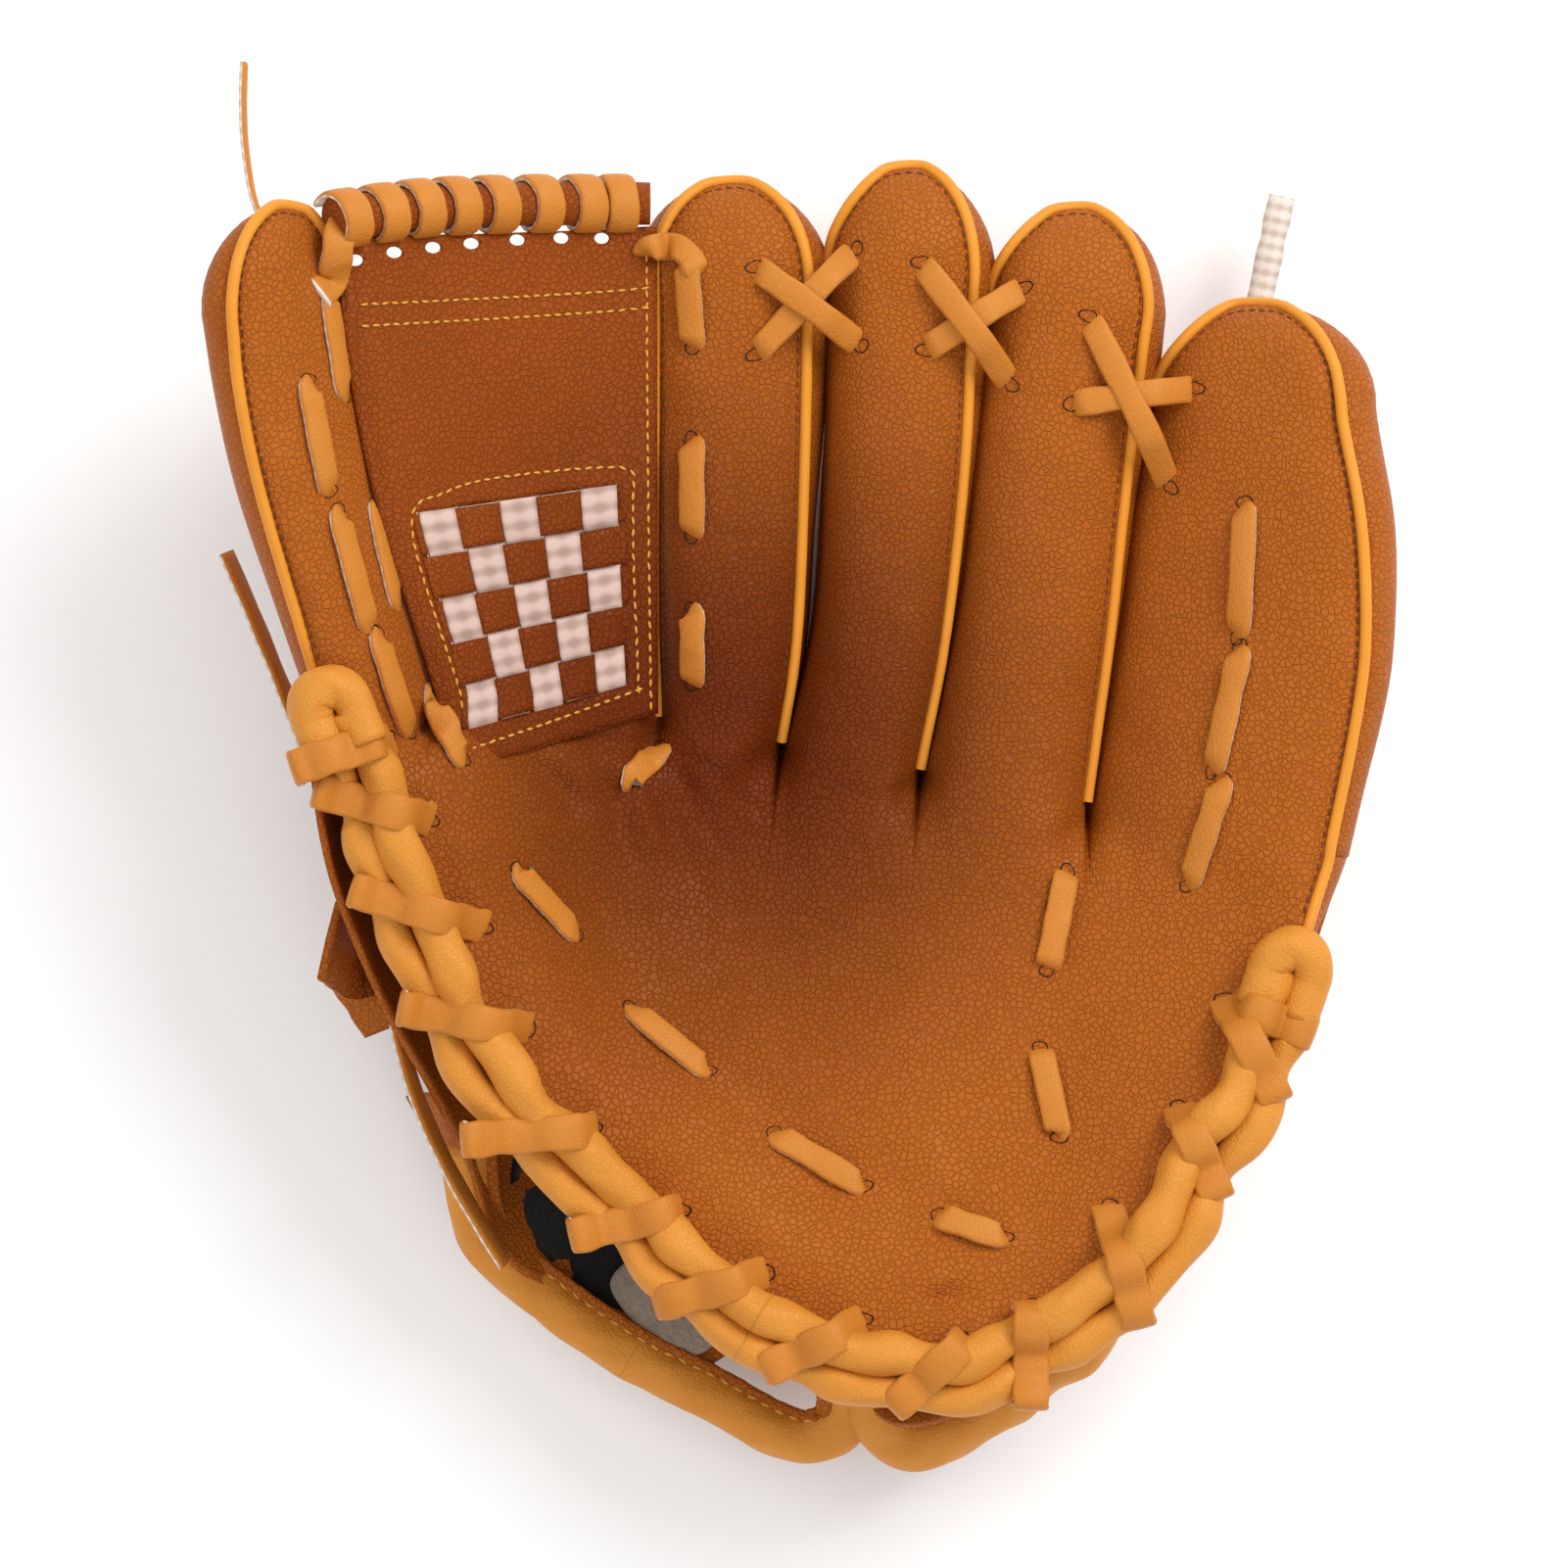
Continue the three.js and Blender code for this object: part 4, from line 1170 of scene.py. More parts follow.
@dataclass
class Fingers:
    """Back shells, pipings and stitches of the stalls."""

    piping_radius: float = 1.35
    rows: int = 40

    def back(self, stall: Stall) -> bpy.types.Object:
        """The back shell of a stall, seam to seam round the outside."""
        heights = stall.heights(self.rows, 12)
        right, left = stall.seams(heights)
        angles = left[:, None] + (2 * math.pi + right - left)[:, None] * np.linspace(0, 1, 45)[None, :]
        grid = stall.point(heights[:, None], angles)
        fullness = np.clip(np.cos(angles), 0 if stall.piped == "right" else -1, 0 if stall.piped == "left" else 1)
        _, _, scale = stall.section(heights)
        # The seam stays where the front panel is; the shell bellies out between its two seams.
        belly = np.sin(np.pi * np.linspace(0, 1, 45)) ** 0.5
        grid[..., 0] += stall.back_bulge * fullness * belly * scale[:, None]
        points = grid.reshape(-1, 3)
        points[:, 0] += 0.5 * fixed_noise(points, 22, 5) * np.tile(belly, len(heights))
        piece = make_object(f"{stall.name}_back_shell", points, grid_faces(len(heights), 45), ["leather"])
        outward(piece)
        return piece

    def heel_run(self, stall: Stall) -> np.ndarray:
        """The edge of the skin from the end of the heel binding up to the root of the stall's right seam."""
        root = stall.front_point(np.array(stall.rows[0][0]), np.array(1.0))
        foot = np.array(HEEL_LINE[-1])
        v = np.linspace(0.74, 0.06, 7)[:, None]
        xy = root[:2] + (foot - root[:2]) * v
        drop = root[2] - FORM.front(*root[:2])
        away = np.linalg.norm(xy - root[:2], axis=1)
        z = FORM.front(xy[:, 0], xy[:, 1]) + drop * np.exp(-((away / 15) ** 2))
        return np.column_stack([xy + np.array([0.9, 0.2]), z + 0.2])

    def seam_line(self, stall: Stall) -> np.ndarray:
        """The line of a stall's seam, up one side, over the tip and down the other as far as it is piped."""
        heights = stall.heights(30, 14)
        out = -self.piping_radius * 0.35
        right, left = (stall.point(heights, angle, out) for angle in stall.seams(heights))
        if stall.name == "thumb":
            right, left = left, right
        if stall.name != "index":
            left = left[-14:]
        if stall.name == "little":
            right = np.vstack([self.heel_run(stall), right])
        line = np.vstack([right[:-1], left[:-1][::-1]])
        line[:, 2] += relief(line) * 0.6
        line[:, 2] += 0.5
        return smooth_curve(line[::2].tolist() + [line[-1].tolist()], 150)

    def build(self, sweep: bpy.types.NodeTree, stitch: bpy.types.NodeTree, ground: Ground) -> None:
        """Make the shells, pipings and seam stitches."""
        for stall in STALLS.values():
            shell = self.back(stall)
            thicken(shell, 1.6)
            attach(shell, stall.body.value)
            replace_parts(shell, f"{stall.name}_back")
            line = self.seam_line(stall)
            cord = run_group(
                carrier(f"{stall.name}_piping_cord", [line]), sweep, "piping", Radius=self.piping_radius * MM,
                Waver=0.12, Waver_scale=130.0, Sides=14,
            )
            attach(cord, stall.body.value)
            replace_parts(cord, f"{stall.name}_piping")
            middle = stall.section(np.array([stall.rows[1][0]]))[0][0]
            inner = []
            for point in line[6:-4]:
                towards = np.array([middle - point[0], stall.rows[-1][0] - 8 - point[1]])
                if point[1] < stall.rows[-1][0]:
                    towards[1] = 0
                towards /= np.linalg.norm(towards) + 1e-9
                xy = point[:2] + towards * 2.0
                inner.append([*xy, ground.hit(*xy)[0].z + 0.12])
            row = run_group(
                carrier(f"{stall.name}_seam_stitches", [smooth_curve(inner[::3], 150)]), stitch, "brown_thread",
                Pitch=2.6 * MM, Length=1.9 * MM, Radius=0.26 * MM,
            )
            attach(row, stall.body.value)


@dataclass
class HeelBinding:
    """The double roll of soft leather round the heel, puckered by the laces that hold it."""

    inner_radius: float = 5.1
    outer_radius: float = 4.4
    wraps: tuple = (
        ((-115.4, 11.0), (-94.7, 17.8)), ((-110.5, 6.1), (-85.7, -0.7)), ((-102.6, -16.4), (-73.8, -25.4)),
        ((-92.0, -43.4), (-63.7, -48.6)), ((-77.9, -73.4), (-49.1, -71.5)), ((-53.6, -95.9), (-28.8, -90.2)),
        ((-34.4, -111.6), (-9.2, -104.2)), ((-9.7, -126.2), (12.8, -115.0)), ((19.6, -134.6), (35.8, -119.5)),
        ((51.1, -134.6), (51.1, -111.6)), ((75.8, -116.1), (69.1, -89.1)), ((93.8, -86.9), (85.3, -66.6)),
        ((107.3, -64.8), (96.1, -41.9)), ((115.7, -49.7), (98.3, -43.0)),
    )

    def centre(self) -> np.ndarray:
        """Centre line of the pair of rolls, in plan and height."""
        line = smooth_curve(HEEL_LINE, 361)
        z = FORM.front(line[:, 0], line[:, 1])
        return np.column_stack([line, z + 0.5])

    def roll(self, name: str, line: np.ndarray, side: float, radius: float) -> np.ndarray:
        """Rings of one roll: vertices of a tube of varying section along the line.

        Args:
            name: seeds its creases.
            line: centre line of the pair.
            side: offset of the roll from the line, outwards positive.
            radius: radius between puckers.

        Returns:
            Array of rings by points by xyz.
        """
        tangents = np.gradient(line, axis=0)
        tangents /= np.linalg.norm(tangents, axis=1, keepdims=True)
        out = np.stack([tangents[:, 1], -tangents[:, 0], 0 * tangents[:, 0]], axis=1)
        out /= np.linalg.norm(out, axis=1, keepdims=True)
        crossings = []
        for outer, hole in self.wraps:
            middle = (np.array(outer) * 0.55 + np.array(hole) * 0.45)
            crossings.append(np.linalg.norm(line[:, :2] - middle, axis=1).argmin())
        arc = np.r_[0, np.cumsum(np.linalg.norm(np.diff(line, axis=0), axis=1))]
        nearest = np.abs(arc[:, None] - arc[crossings][None]).min(axis=1)
        pucker = np.exp(-((nearest / 5.5) ** 2))
        seed = sum(ord(c) for c in name)
        swell = 1 + 0.07 * fixed_noise(arc[:, None], 9, seed) - 0.15 * pucker
        drift = 0.7 * fixed_noise(arc[:, None], 16, seed + 1)
        low = -1.6 if side > 0 else 0.8
        centres = line + out * (side + drift - side * 0.10 * pucker)[:, None]
        centres[:, 2] += low + 0.5 * fixed_noise(arc[:, None], 14, seed + 2) - 0.5 * pucker
        across = np.cross(out, tangents)
        rings = []
        angles = np.linspace(0, 2 * math.pi, 28, endpoint=False)
        for k in range(len(line)):
            r = radius * swell[k]
            fold = 1 + 0.035 * np.sin(3 * angles + arc[k] / 5.0) + 0.025 * np.sin(5 * angles - arc[k] / 3.1 + seed)
            ring = centres[k] + (
                out[k] * (np.cos(angles) * r * fold)[:, None]
                + across[k] * (np.sin(angles) * r * fold * 1.05)[:, None]
            )
            rings.append(ring)
        return np.array(rings)

    def loop(self, name: str, line: np.ndarray, at_start: bool) -> np.ndarray:
        """Rings of the fat curl that ends the binding: it turns from the outer roll into the inner one."""
        tip, step = (line[0], line[0] - line[6]) if at_start else (line[-1], line[-1] - line[-7])
        step[2] = 0
        forward = step / np.linalg.norm(step)
        out = np.array([-forward[1], forward[0], 0]) * (1 if at_start else -1)
        if at_start:
            out = -out
        points, radii = [], []
        for t in np.linspace(-0.16, 1.16, 46):
            turn = math.pi * np.clip(t, 0, 1)
            run = -9 * (max(0, -t) + max(0, t - 1)) / 0.16
            side = 4.9 * math.cos(turn)
            ahead = 6.0 * math.sin(turn) ** 0.9 + run
            points.append(tip + out * side + forward * ahead + np.array([0, 0, 1.2 + 1.3 * math.sin(turn)]))
            radii.append(4.9 - 0.3 * math.cos(turn) + 0.4 * math.sin(turn))
        points = np.array(points)
        tangents = np.gradient(points, axis=0)
        tangents /= np.linalg.norm(tangents, axis=1, keepdims=True)
        sides = np.cross(tangents, [0, 0, 1.0])
        sides /= np.linalg.norm(sides, axis=1, keepdims=True)
        ups = np.cross(sides, tangents)
        seed = sum(ord(c) for c in name)
        angles = np.linspace(0, 2 * math.pi, 28, endpoint=False)
        rings = []
        for k, point in enumerate(points):
            fold = 1 + 0.05 * np.sin(4 * angles + k / 3.0 + seed) * math.sin(math.pi * k / (len(points) - 1))
            rings.append(
                point + sides[k] * (np.cos(angles) * radii[k] * fold)[:, None]
                + ups[k] * (np.sin(angles) * radii[k] * fold)[:, None]
            )
        return np.array(rings)

    def tube(self, name: str, rings: np.ndarray) -> bpy.types.Object:
        """A capped tube from its rings, filled out between the laces that hold it."""
        count = rings.shape[1]
        middles = rings.mean(axis=1)[:, None, :2]
        laced = np.array([(np.array(outer) + np.array(hole)) / 2 for outer, hole in self.wraps])
        pressed = np.linalg.norm(middles - laced, axis=2).min(axis=1) < 4.5
        pressed[[0, 1, -2, -1]] = True
        held = [k * count + i for k in np.flatnonzero(pressed).tolist() for i in range(count)]
        return fill_out(outward(make_object(name, rings.reshape(-1, 3), capped_tube(rings), ["binding"])), held)

    def build(self, ground: Ground) -> dict[str, LaceWork]:
        """Make the rolls and their laces."""
        line = self.centre()
        split = 180
        parts = {"thumb": (slice(0, split + 1), Body.THUMB), "little": (slice(split, 361), Body.LITTLE)}
        stands = {"thumb": ("heel_binding_thumb",), "little": ("heel_binding_little", "heel_binding_center")}
        for label, side, radius in (("outer", 4.5, self.outer_radius), ("inner", -4.1, self.inner_radius)):
            rings = self.roll(label, line, side, radius)
            for part, (span, body) in parts.items():
                piece = self.tube(f"heel_roll_{label}_{part}", rings[span])
                if label == "outer":
                    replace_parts(piece, *stands[part])
                bend_to(piece, body)
                ground.include(piece)
        for part, at_start, body in (("thumb", True, Body.THUMB), ("little", False, Body.LITTLE)):
            piece = self.tube(f"heel_loop_{part}", self.loop(part, line, at_start))
            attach(piece, body.value)
            ground.include(piece)
        works = {}
        for part, body in (("thumb", Body.THUMB), ("little", Body.LITTLE)):
            work = LaceWork(f"heel_wraps_{part}", Lace(8.3, 1.6))
            for outer, hole in self.wraps:
                if (outer[0] < 7) == (part == "thumb"):
                    self.wrap(work, ground, outer, hole)
            works[part] = work
        return works

    def wrap(self, work: LaceWork, ground: Ground, outer: Point, hole: Point) -> None:
        """One lace over both rolls, from its hole in the palm down round the outside."""
        o, h = np.array(outer), np.array(hole)
        d = (o - h) / np.linalg.norm(o - h)
        length = float(np.linalg.norm(o - h))
        samples = []
        for t in np.linspace(0, length - 1.5, 26):
            xy = h + d * t
            place, _ = ground.hit(*xy)
            samples.append([t, place.z])
        profile = np.array(samples)
        z = profile[:, 1].copy()
        z[0] -= 2.0
        for _ in range(3):  # the lace spans the groove between the rolls
            z[1:-1] = np.maximum(z[1:-1], (z[:-2] + z[2:]) / 2 - 0.05)
        z[1:-1] = (z[:-2] + z[1:-1] + z[2:]) / 3
        top = [[*(h + d * t), height + 1.0] for t, height in zip(profile[:, 0], z)]
        down = []
        last = top[-1]
        for angle in np.linspace(0.35, 2.2, 9):
            down.append([*(o + d * (-1.5 + 1.6 * math.sin(angle))), last[2] - 6.5 * (1 - math.cos(angle)) * 1.1])
        under = [[*(h - d * 0.7), top[0][2] - 3.5]]
        points = smooth_curve(under + top[::2] + down, 44)
        tangents = np.gradient(points, axis=0)
        tangents /= np.linalg.norm(tangents, axis=1, keepdims=True)
        side = np.array([-d[1], d[0], 0])
        ups = np.cross(np.broadcast_to(side, tangents.shape), tangents)
        ups *= np.sign(ups[20, 2])
        work.add(points, ups)


@dataclass
class Web:
    """The web between thumb and index finger: panel, woven window and laced top bar."""

    strips: int = 5
    window: tuple[float, float, float, float] = (0.13, 0.86, 0.075, 0.485)  # left, right, bottom, top

    def bar_y(self, u: np.ndarray) -> np.ndarray:
        """Y of the panel's top edge."""
        return 134.6 + 6.4 * u - 4.5

    def point(self, u: np.ndarray, v: np.ndarray, lift: float = 0.0) -> np.ndarray:
        """The web's surface: u from the thumb to the index finger, v from the palm to the bar."""
        u, v = np.broadcast_arrays(np.asarray(u, float), np.asarray(v, float))
        low = 9.0 + 15.0 * u
        y = low + (self.bar_y(u) - low) * v
        middle, half, _ = STALLS["thumb"].section(np.minimum(y, 112))
        left = middle + 0.86 * half
        x = left + (-34.4 - left) * u
        bow = 1.2 * np.sin(math.pi * u) * np.sin(math.pi * v)
        # The edge beside the thumb dips under its side, and the other dips under the index finger's piping.
        tuck = 3.0 * np.exp(-((u / 0.05) ** 2)) + 2.2 * np.exp(-(((1 - u) / 0.035) ** 2))
        return np.stack([x, y, FORM.front(x, y) - 1.0 - bow - tuck + lift], axis=-1)

    def in_window(self, u: float, v: float) -> bool:
        """Whether a point is in the woven window."""
        left, right, bottom, top = self.window
        return left <= u <= right and bottom <= v <= top

    def build(self, ground: Ground, sweep: bpy.types.NodeTree, stitch: bpy.types.NodeTree) -> None:
        """Make the web."""
        left, right, bottom, top = self.window
        us = np.unique(np.r_[np.linspace(0, left, 7), np.linspace(left, right, 31), np.linspace(right, 1, 7)])
        vs = np.unique(np.r_[np.linspace(0, bottom, 5), np.linspace(bottom, top, 36), np.linspace(top, 1, 46)])
        grid = self.point(us[None, :], vs[:, None])
        points = grid.reshape(-1, 3)
        points[:, 2] += 0.3 * fixed_noise(points[:, :2], 15, 31)
        columns = len(us)
        faces = []
        for face in grid_faces(len(vs), columns):
            j, i = divmod(face[0], columns)
            if not self.in_window((us[i] + us[i + 1]) / 2, (vs[j] + vs[j + 1]) / 2):
                faces.append(face)
        panel = make_object("web_leather", points, faces, ["web_leather"])
        bm = bmesh.new()
        bm.from_mesh(panel.data)
        bmesh.ops.delete(bm, geom=[v for v in bm.verts if not v.link_faces], context="VERTS")
        bm.to_mesh(panel.data)
        bm.free()
        thicken(panel, 1.6)
        panel = self.punch(panel)
        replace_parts(bend_thumb(panel), "web_panel")
        ground.include(panel)
        self.weave()
        self.stitches(stitch)
        self.bar(ground, sweep)

    def weave(self) -> None:
        """Leather strips across the window, and tapes up it that pass over and under them."""
        left, right, bottom, top = self.window
        amplitude = 0.95
        count = self.strips

        def level(column: float, row: float) -> float:
            return math.cos(math.pi * column) * math.cos(math.pi * row)

        strips_v, strips_f = [], []
        pitch_v, pitch_u = (top - bottom) / count, (right - left) / count
        for row in range(count):
            us = np.linspace(left - 0.02, right + 0.02, 61)
            vs = bottom + pitch_v * (row + np.linspace(0.035, 0.965, 7))
            start = sum(len(v) for v in strips_v)
            columns = np.clip((us - left) / pitch_u, 0, count) - 0.5
            lifts = np.array([-amplitude * np.clip(1.5 * level(c, row), -1, 1) for c in columns])
            lifts *= np.clip(np.minimum(us - left, right - us) / 0.03, 0.0, 1)
            grid = self.point(us[None, :], vs[:, None]) + np.array([0, 0, 1]) * (lifts[None, :, None] - 0.3)
            strips_v.append(grid.reshape(-1, 3))
            strips_f += grid_faces(7, 61, start)
        strips = make_object("web_strips", np.vstack(strips_v), strips_f, ["web_leather"])
        thicken(strips, 0.9, 0.0)
        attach(strips, Body.THUMB.value)
        for column in range(count):
            us = left + pitch_u * (column + np.linspace(0.06, 0.94, 9))
            vs = np.linspace(bottom - 0.02, top + 0.02, 101)
            rows = np.clip((vs - bottom) / pitch_v, 0, count) - 0.5
            lifts = np.array([amplitude * np.clip(1.5 * level(column, r), -1, 1) for r in rows])
            outside = np.clip(np.maximum(bottom - vs, vs - top) / 0.008, 0, 1)
            lifts = lifts * (1 - outside) - 2.6 * outside
            grid = self.point(us[None, :], vs[:, None]) + np.array([0, 0, 1]) * (lifts[:, None, None] - 0.3)
            across = np.linspace(-3.4, 3.4, 9)
            rise_run = np.r_[0, np.cumsum(np.linalg.norm(np.diff(grid[:, 4], axis=0), axis=1))]
            uvs = np.stack(np.broadcast_arrays(across[None, :], rise_run[:, None]), axis=-1).reshape(-1, 2) * MM
            tape = make_object(
                f"web_woven_tape_{column + 1}", grid.reshape(-1, 3), grid_faces(101, 9), ["tape"], uvs=uvs
            )
            thicken(tape, 0.6, 0.0)
            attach(tape, Body.THUMB.value)
            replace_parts(tape, f"web_tape_{column + 1}")

    def stitches(self, stitch: bpy.types.NodeTree) -> None:
        """Golden stitch rows under the bar, up the finger side and round the window."""
        left, right, bottom, top = self.window

        def row(us: np.ndarray, vs: np.ndarray) -> np.ndarray:
            return self.point(us, vs, 0.25)

        t = np.linspace(0, 1, 60)
        outline = smooth_curve(
            [(left - 0.02, bottom + 0.05), (left - 0.03, top - 0.03), (left + 0.12, top + 0.03), (0.5, top + 0.045),
             (right + 0.02, top + 0.03), (right + 0.05, top - 0.03)], 80)
        outline_2 = np.array([(right + 0.05, top - 0.03), (right + 0.045, 0.3), (right + 0.05, bottom - 0.015)])
        outline_2 = smooth_curve(outline_2, 60)
        outline_3 = smooth_curve([(right + 0.05, bottom - 0.015), (0.5, bottom - 0.03), (left - 0.01, bottom - 0.04)], 60)
        rows = [
            row(0.07 + 0.89 * t, 0.875 + 0 * t), row(0.07 + 0.89 * t, 0.835 + 0 * t), row(0.965 + 0 * t, 0.02 + 0.94 * t),
            row(outline[:, 0], outline[:, 1]), row(outline_2[:, 0], outline_2[:, 1]),
            row(outline_3[:, 0], outline_3[:, 1]),
        ]
        for line in rows:
            line[:, 2] += 0.3 * fixed_noise(line[:, :2], 15, 31)
        made = run_group(
            carrier("web_stitches", rows), stitch, "thread", Pitch=2.7 * MM, Length=2.1 * MM, Radius=0.34 * MM
        )
        bend_thumb(made)

    def punch(self, panel: bpy.types.Object) -> bpy.types.Object:
        """Punch the row of holes that the top lace goes through."""
        vertices, faces = [], []
        for x, y in ((-101.6, 125.4), (-93.2, 127.6), (-84.8, 129.2), (-76.4, 130.6), (-66.2, 132.0), (-56.4, 133.0),
                     (-47.2, 133.4)):
            start = len(vertices)
            for z in (30.0, 110.0):
                for k in range(12):
                    angle = 2 * math.pi * k / 12
                    vertices.append((x + 1.7 * math.cos(angle), y + 1.35 * math.sin(angle), z))
            faces += grid_faces(2, 12, start, wrap=True)
            faces += [tuple(range(start, start + 12))[::-1], tuple(range(start + 12, start + 24))]
        cutter = outward(make_object("web_punch", np.array(vertices), faces, ["web_leather"]))
        boolean = panel.modifiers.new("punch", "BOOLEAN")
        boolean.object, boolean.operation, boolean.solver = cutter, "DIFFERENCE", "EXACT"
        bpy.context.view_layer.update()
        mesh = bpy.data.meshes.new_from_object(panel.evaluated_get(bpy.context.evaluated_depsgraph_get()))
        panel.modifiers.clear()
        panel.data = mesh
        bpy.data.objects.remove(cutter)
        return panel

    def bar(self, ground: Ground, sweep: bpy.types.NodeTree) -> None:
        """The rolled top edge, with eight turns of lace; the small hole under each gap is cut in the panel by punch."""
        path = smooth_curve([(-106, 134, 86), (-98, 135.8, 81), (-84, 138.4, 71), (-62, 140.5, 56), (-44, 141.5, 45.5),
                             (-36, 141.5, 44)], 120)
        path[:, 2] = FORM.front(path[:, 0], path[:, 1]) - 1.5
        roll = run_group(
            carrier("web_bar_roll", [path]), sweep, "web_leather", Radius=5.0 * MM, Waver=0.16, Waver_scale=45.0, Sides=24
        )
        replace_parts(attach(roll, Body.THUMB.value), "web_top_bar")
        ground.include(roll)
        work = LaceWork("web_bar_wraps", Lace(7.2, 1.5))
        for x, lean in ((-103.5, 0.1), (-95.6, 0.1), (-88.0, 0.12), (-80.0, 0.14), (-71.4, 0.12), (-61.6, 0.1),
                        (-51.6, 0.1), (-43.2, 0.08)):
            k = int(np.abs(path[:, 0] - x).argmin())
            centre, tangent = path[k], path[min(k + 1, 119)] - path[max(k - 1, 0)]
            tangent /= np.linalg.norm(tangent)
            up = np.array([0, 0, 1.0]) - tangent * tangent[2]
            up /= np.linalg.norm(up)
            across = np.cross(tangent, up)
            points, ups = [], []
            for angle in np.linspace(-0.25 * math.pi, 1.32 * math.pi, 40):
                radial = across * -math.cos(angle) + up * math.sin(angle)
                slide = tangent * (lean * 5.0 * (angle - math.pi / 2))
                points.append(centre + radial * 6.0 + slide)
                ups.append(radial)
            work.add(np.array(points), np.array(ups))
        made = work.finish()
        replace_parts(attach(made, Body.THUMB.value), "web_top_lace")


@dataclass
class Lacing:
    """Running laces and crossed laces of the catching surface, with their punched holes."""

    thumb: tuple = (
        ((-107.2, 118.4), (-104.0, 95.0)), ((-111.5, 98.1), (-107.0, 73.4)), ((-105.4, 69.5), (-98.5, 42.5)),
        ((-98.0, 71.1), (-93.0, 48.6)), ((-97.0, 41.9), (-90.2, 19.4)), ((-86.4, 28.4), (-78.3, 13.3)),
    )
    palm_left: tuple = (((-66.4, -11.9), (-52.9, -27.2)),)
    palm: tuple = (
        ((54.2, -53.6), (58.3, -73.8)), ((30.4, -91.4), (45.5, -96.3)), ((-7.4, -72.9), (13.3, -85.0)),
        ((-40.7, -44.1), (-22.7, -58.7)), ((-41.2, 8.1), (-33.8, 16.2)), ((60.8, -12.6), (56.0, -35.6)),
    )
    index: tuple = (((-27.9, 128.7), (-26.3, 108.5)), ((-26.6, 87.5), (-26.6, 65.0)), ((-26.6, 48.1), (-26.6, 30.8)))
    little: tuple = (((101.0, 72.5), (99.5, 41.3)), ((100.1, 39.3), (93.8, 10.3)), ((96.1, 8.9), (88.2, -16.0)))
    crossed: dict = field(default_factory=lambda: {
        "index_middle": (((-11.9, 106.7), (11.7, 131.4)), ((-11.9, 126.9), (12.8, 108.9))),
        "middle_ring": (((27.4, 107.8), (50.6, 122.4)), ((26.3, 128.0), (47.7, 99.9))),
        "ring_little": (((61.2, 95.4), (90.5, 99.2)), ((65.2, 115.7), (84.8, 76.3))),
    })

    def group(self, name: str, runs: tuple, ground: Ground, lift: float = 0.9, bow: float = 1.0) -> bpy.types.Object:
        """Running laces of one body as one object."""
        work = LaceWork(name)
        for start, end in runs:
            work.over(ground, start, end, lift, bow)
        return work.finish()

    def build(self, ground: Ground) -> None:
        """Make every lace and hole."""
        groups = (
            ("thumb_running_lace", self.thumb, Body.THUMB, ("thumb_lace",)),
            ("heel_pad_lace", self.palm_left, Body.THUMB, ()),
            ("palm_running_lace", self.palm, Body.PALM, ("palm_lace",)),
            ("index_running_lace", self.index, Body.PALM, ("index_lace",)),
            ("little_running_lace", self.little, Body.LITTLE, ("little_lace",)),
        )
        for name, runs, body, nodes in groups:
            piece = self.group(name, runs, ground)
            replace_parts(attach(piece, body.value), *nodes)
            ends = Holes(f"{name}_holes", [p for run in runs for p in run])
            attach(ends.make(ground), body.value)
        for pair, (under, over) in self.crossed.items():
            work = LaceWork(f"crossed_lace_{pair}", Lace(6.3, 1.5))
            work.over(ground, *under, lift=0.9, bow=1.2, crossing=0.1)
            work.over(ground, *over, lift=0.9, bow=1.4, crossing=1.9)
            piece = work.finish()
            # Only the pair over the little-finger valley reaches past a crease.
            body = Body.LITTLE if pair == "ring_little" else Body.PALM
            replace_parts(bend_to(piece, body), f"cross_lace_{pair}")
            ends = Holes(f"crossed_lace_{pair}_holes", [*under, *over])
            bend_to(ends.make(ground), body)
        self.index_wrap(ground)
        self.thumb_curl(ground)

    def index_wrap(self, ground: Ground) -> None:
        """The lace that comes round the edge of the index finger at its tip, from the web's bar."""
        points = [(-37.5, 129.5, 44), (-37.4, 130.2, 49.5), (-35.0, 131.2, 53.8)]
        for x, y in ((-32.5, 131.8), (-29.5, 131.5), (-26.6, 129.0), (-25.4, 126.4)):
            points.append((x, y, ground.hit(x, y)[0].z + 1.3))
        points.append((-25.0, 124.6, points[-1][2] - 4))
        line = smooth_curve(points, 36)
        tangents = np.gradient(line, axis=0)
        side = np.cross(tangents, np.array([0.35, 0.0, 1.0]))
        ups = np.cross(side, tangents)
        ups *= np.sign(ups[:, 2:3] + 1e-9)
        work = LaceWork("index_edge_lace")
        work.add(line, ups)
        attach(work.finish(), Body.PALM.value)

    def thumb_curl(self, ground: Ground) -> None:
        """The lace that curls from the web's bar over the inside edge of the thumb."""
        points = [(-101.5, 137.5, 88.0), (-103.6, 134.4, 90.0)]
        for x, y in ((-104.6, 130.0), (-105.2, 125.0), (-106.6, 120.6), (-109.0, 117.6)):
            points.append((x, y, max(ground.hit(x, y)[0].z + 1.4, 70)))
        line = smooth_curve(points, 34)
        ups = np.tile(np.array([0.35, 0.05, 1.0]), (len(line), 1))
        work = LaceWork("thumb_edge_lace", Lace(7.4, 1.5))
        work.add(line, ups)
        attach(work.finish(), Body.THUMB.value)


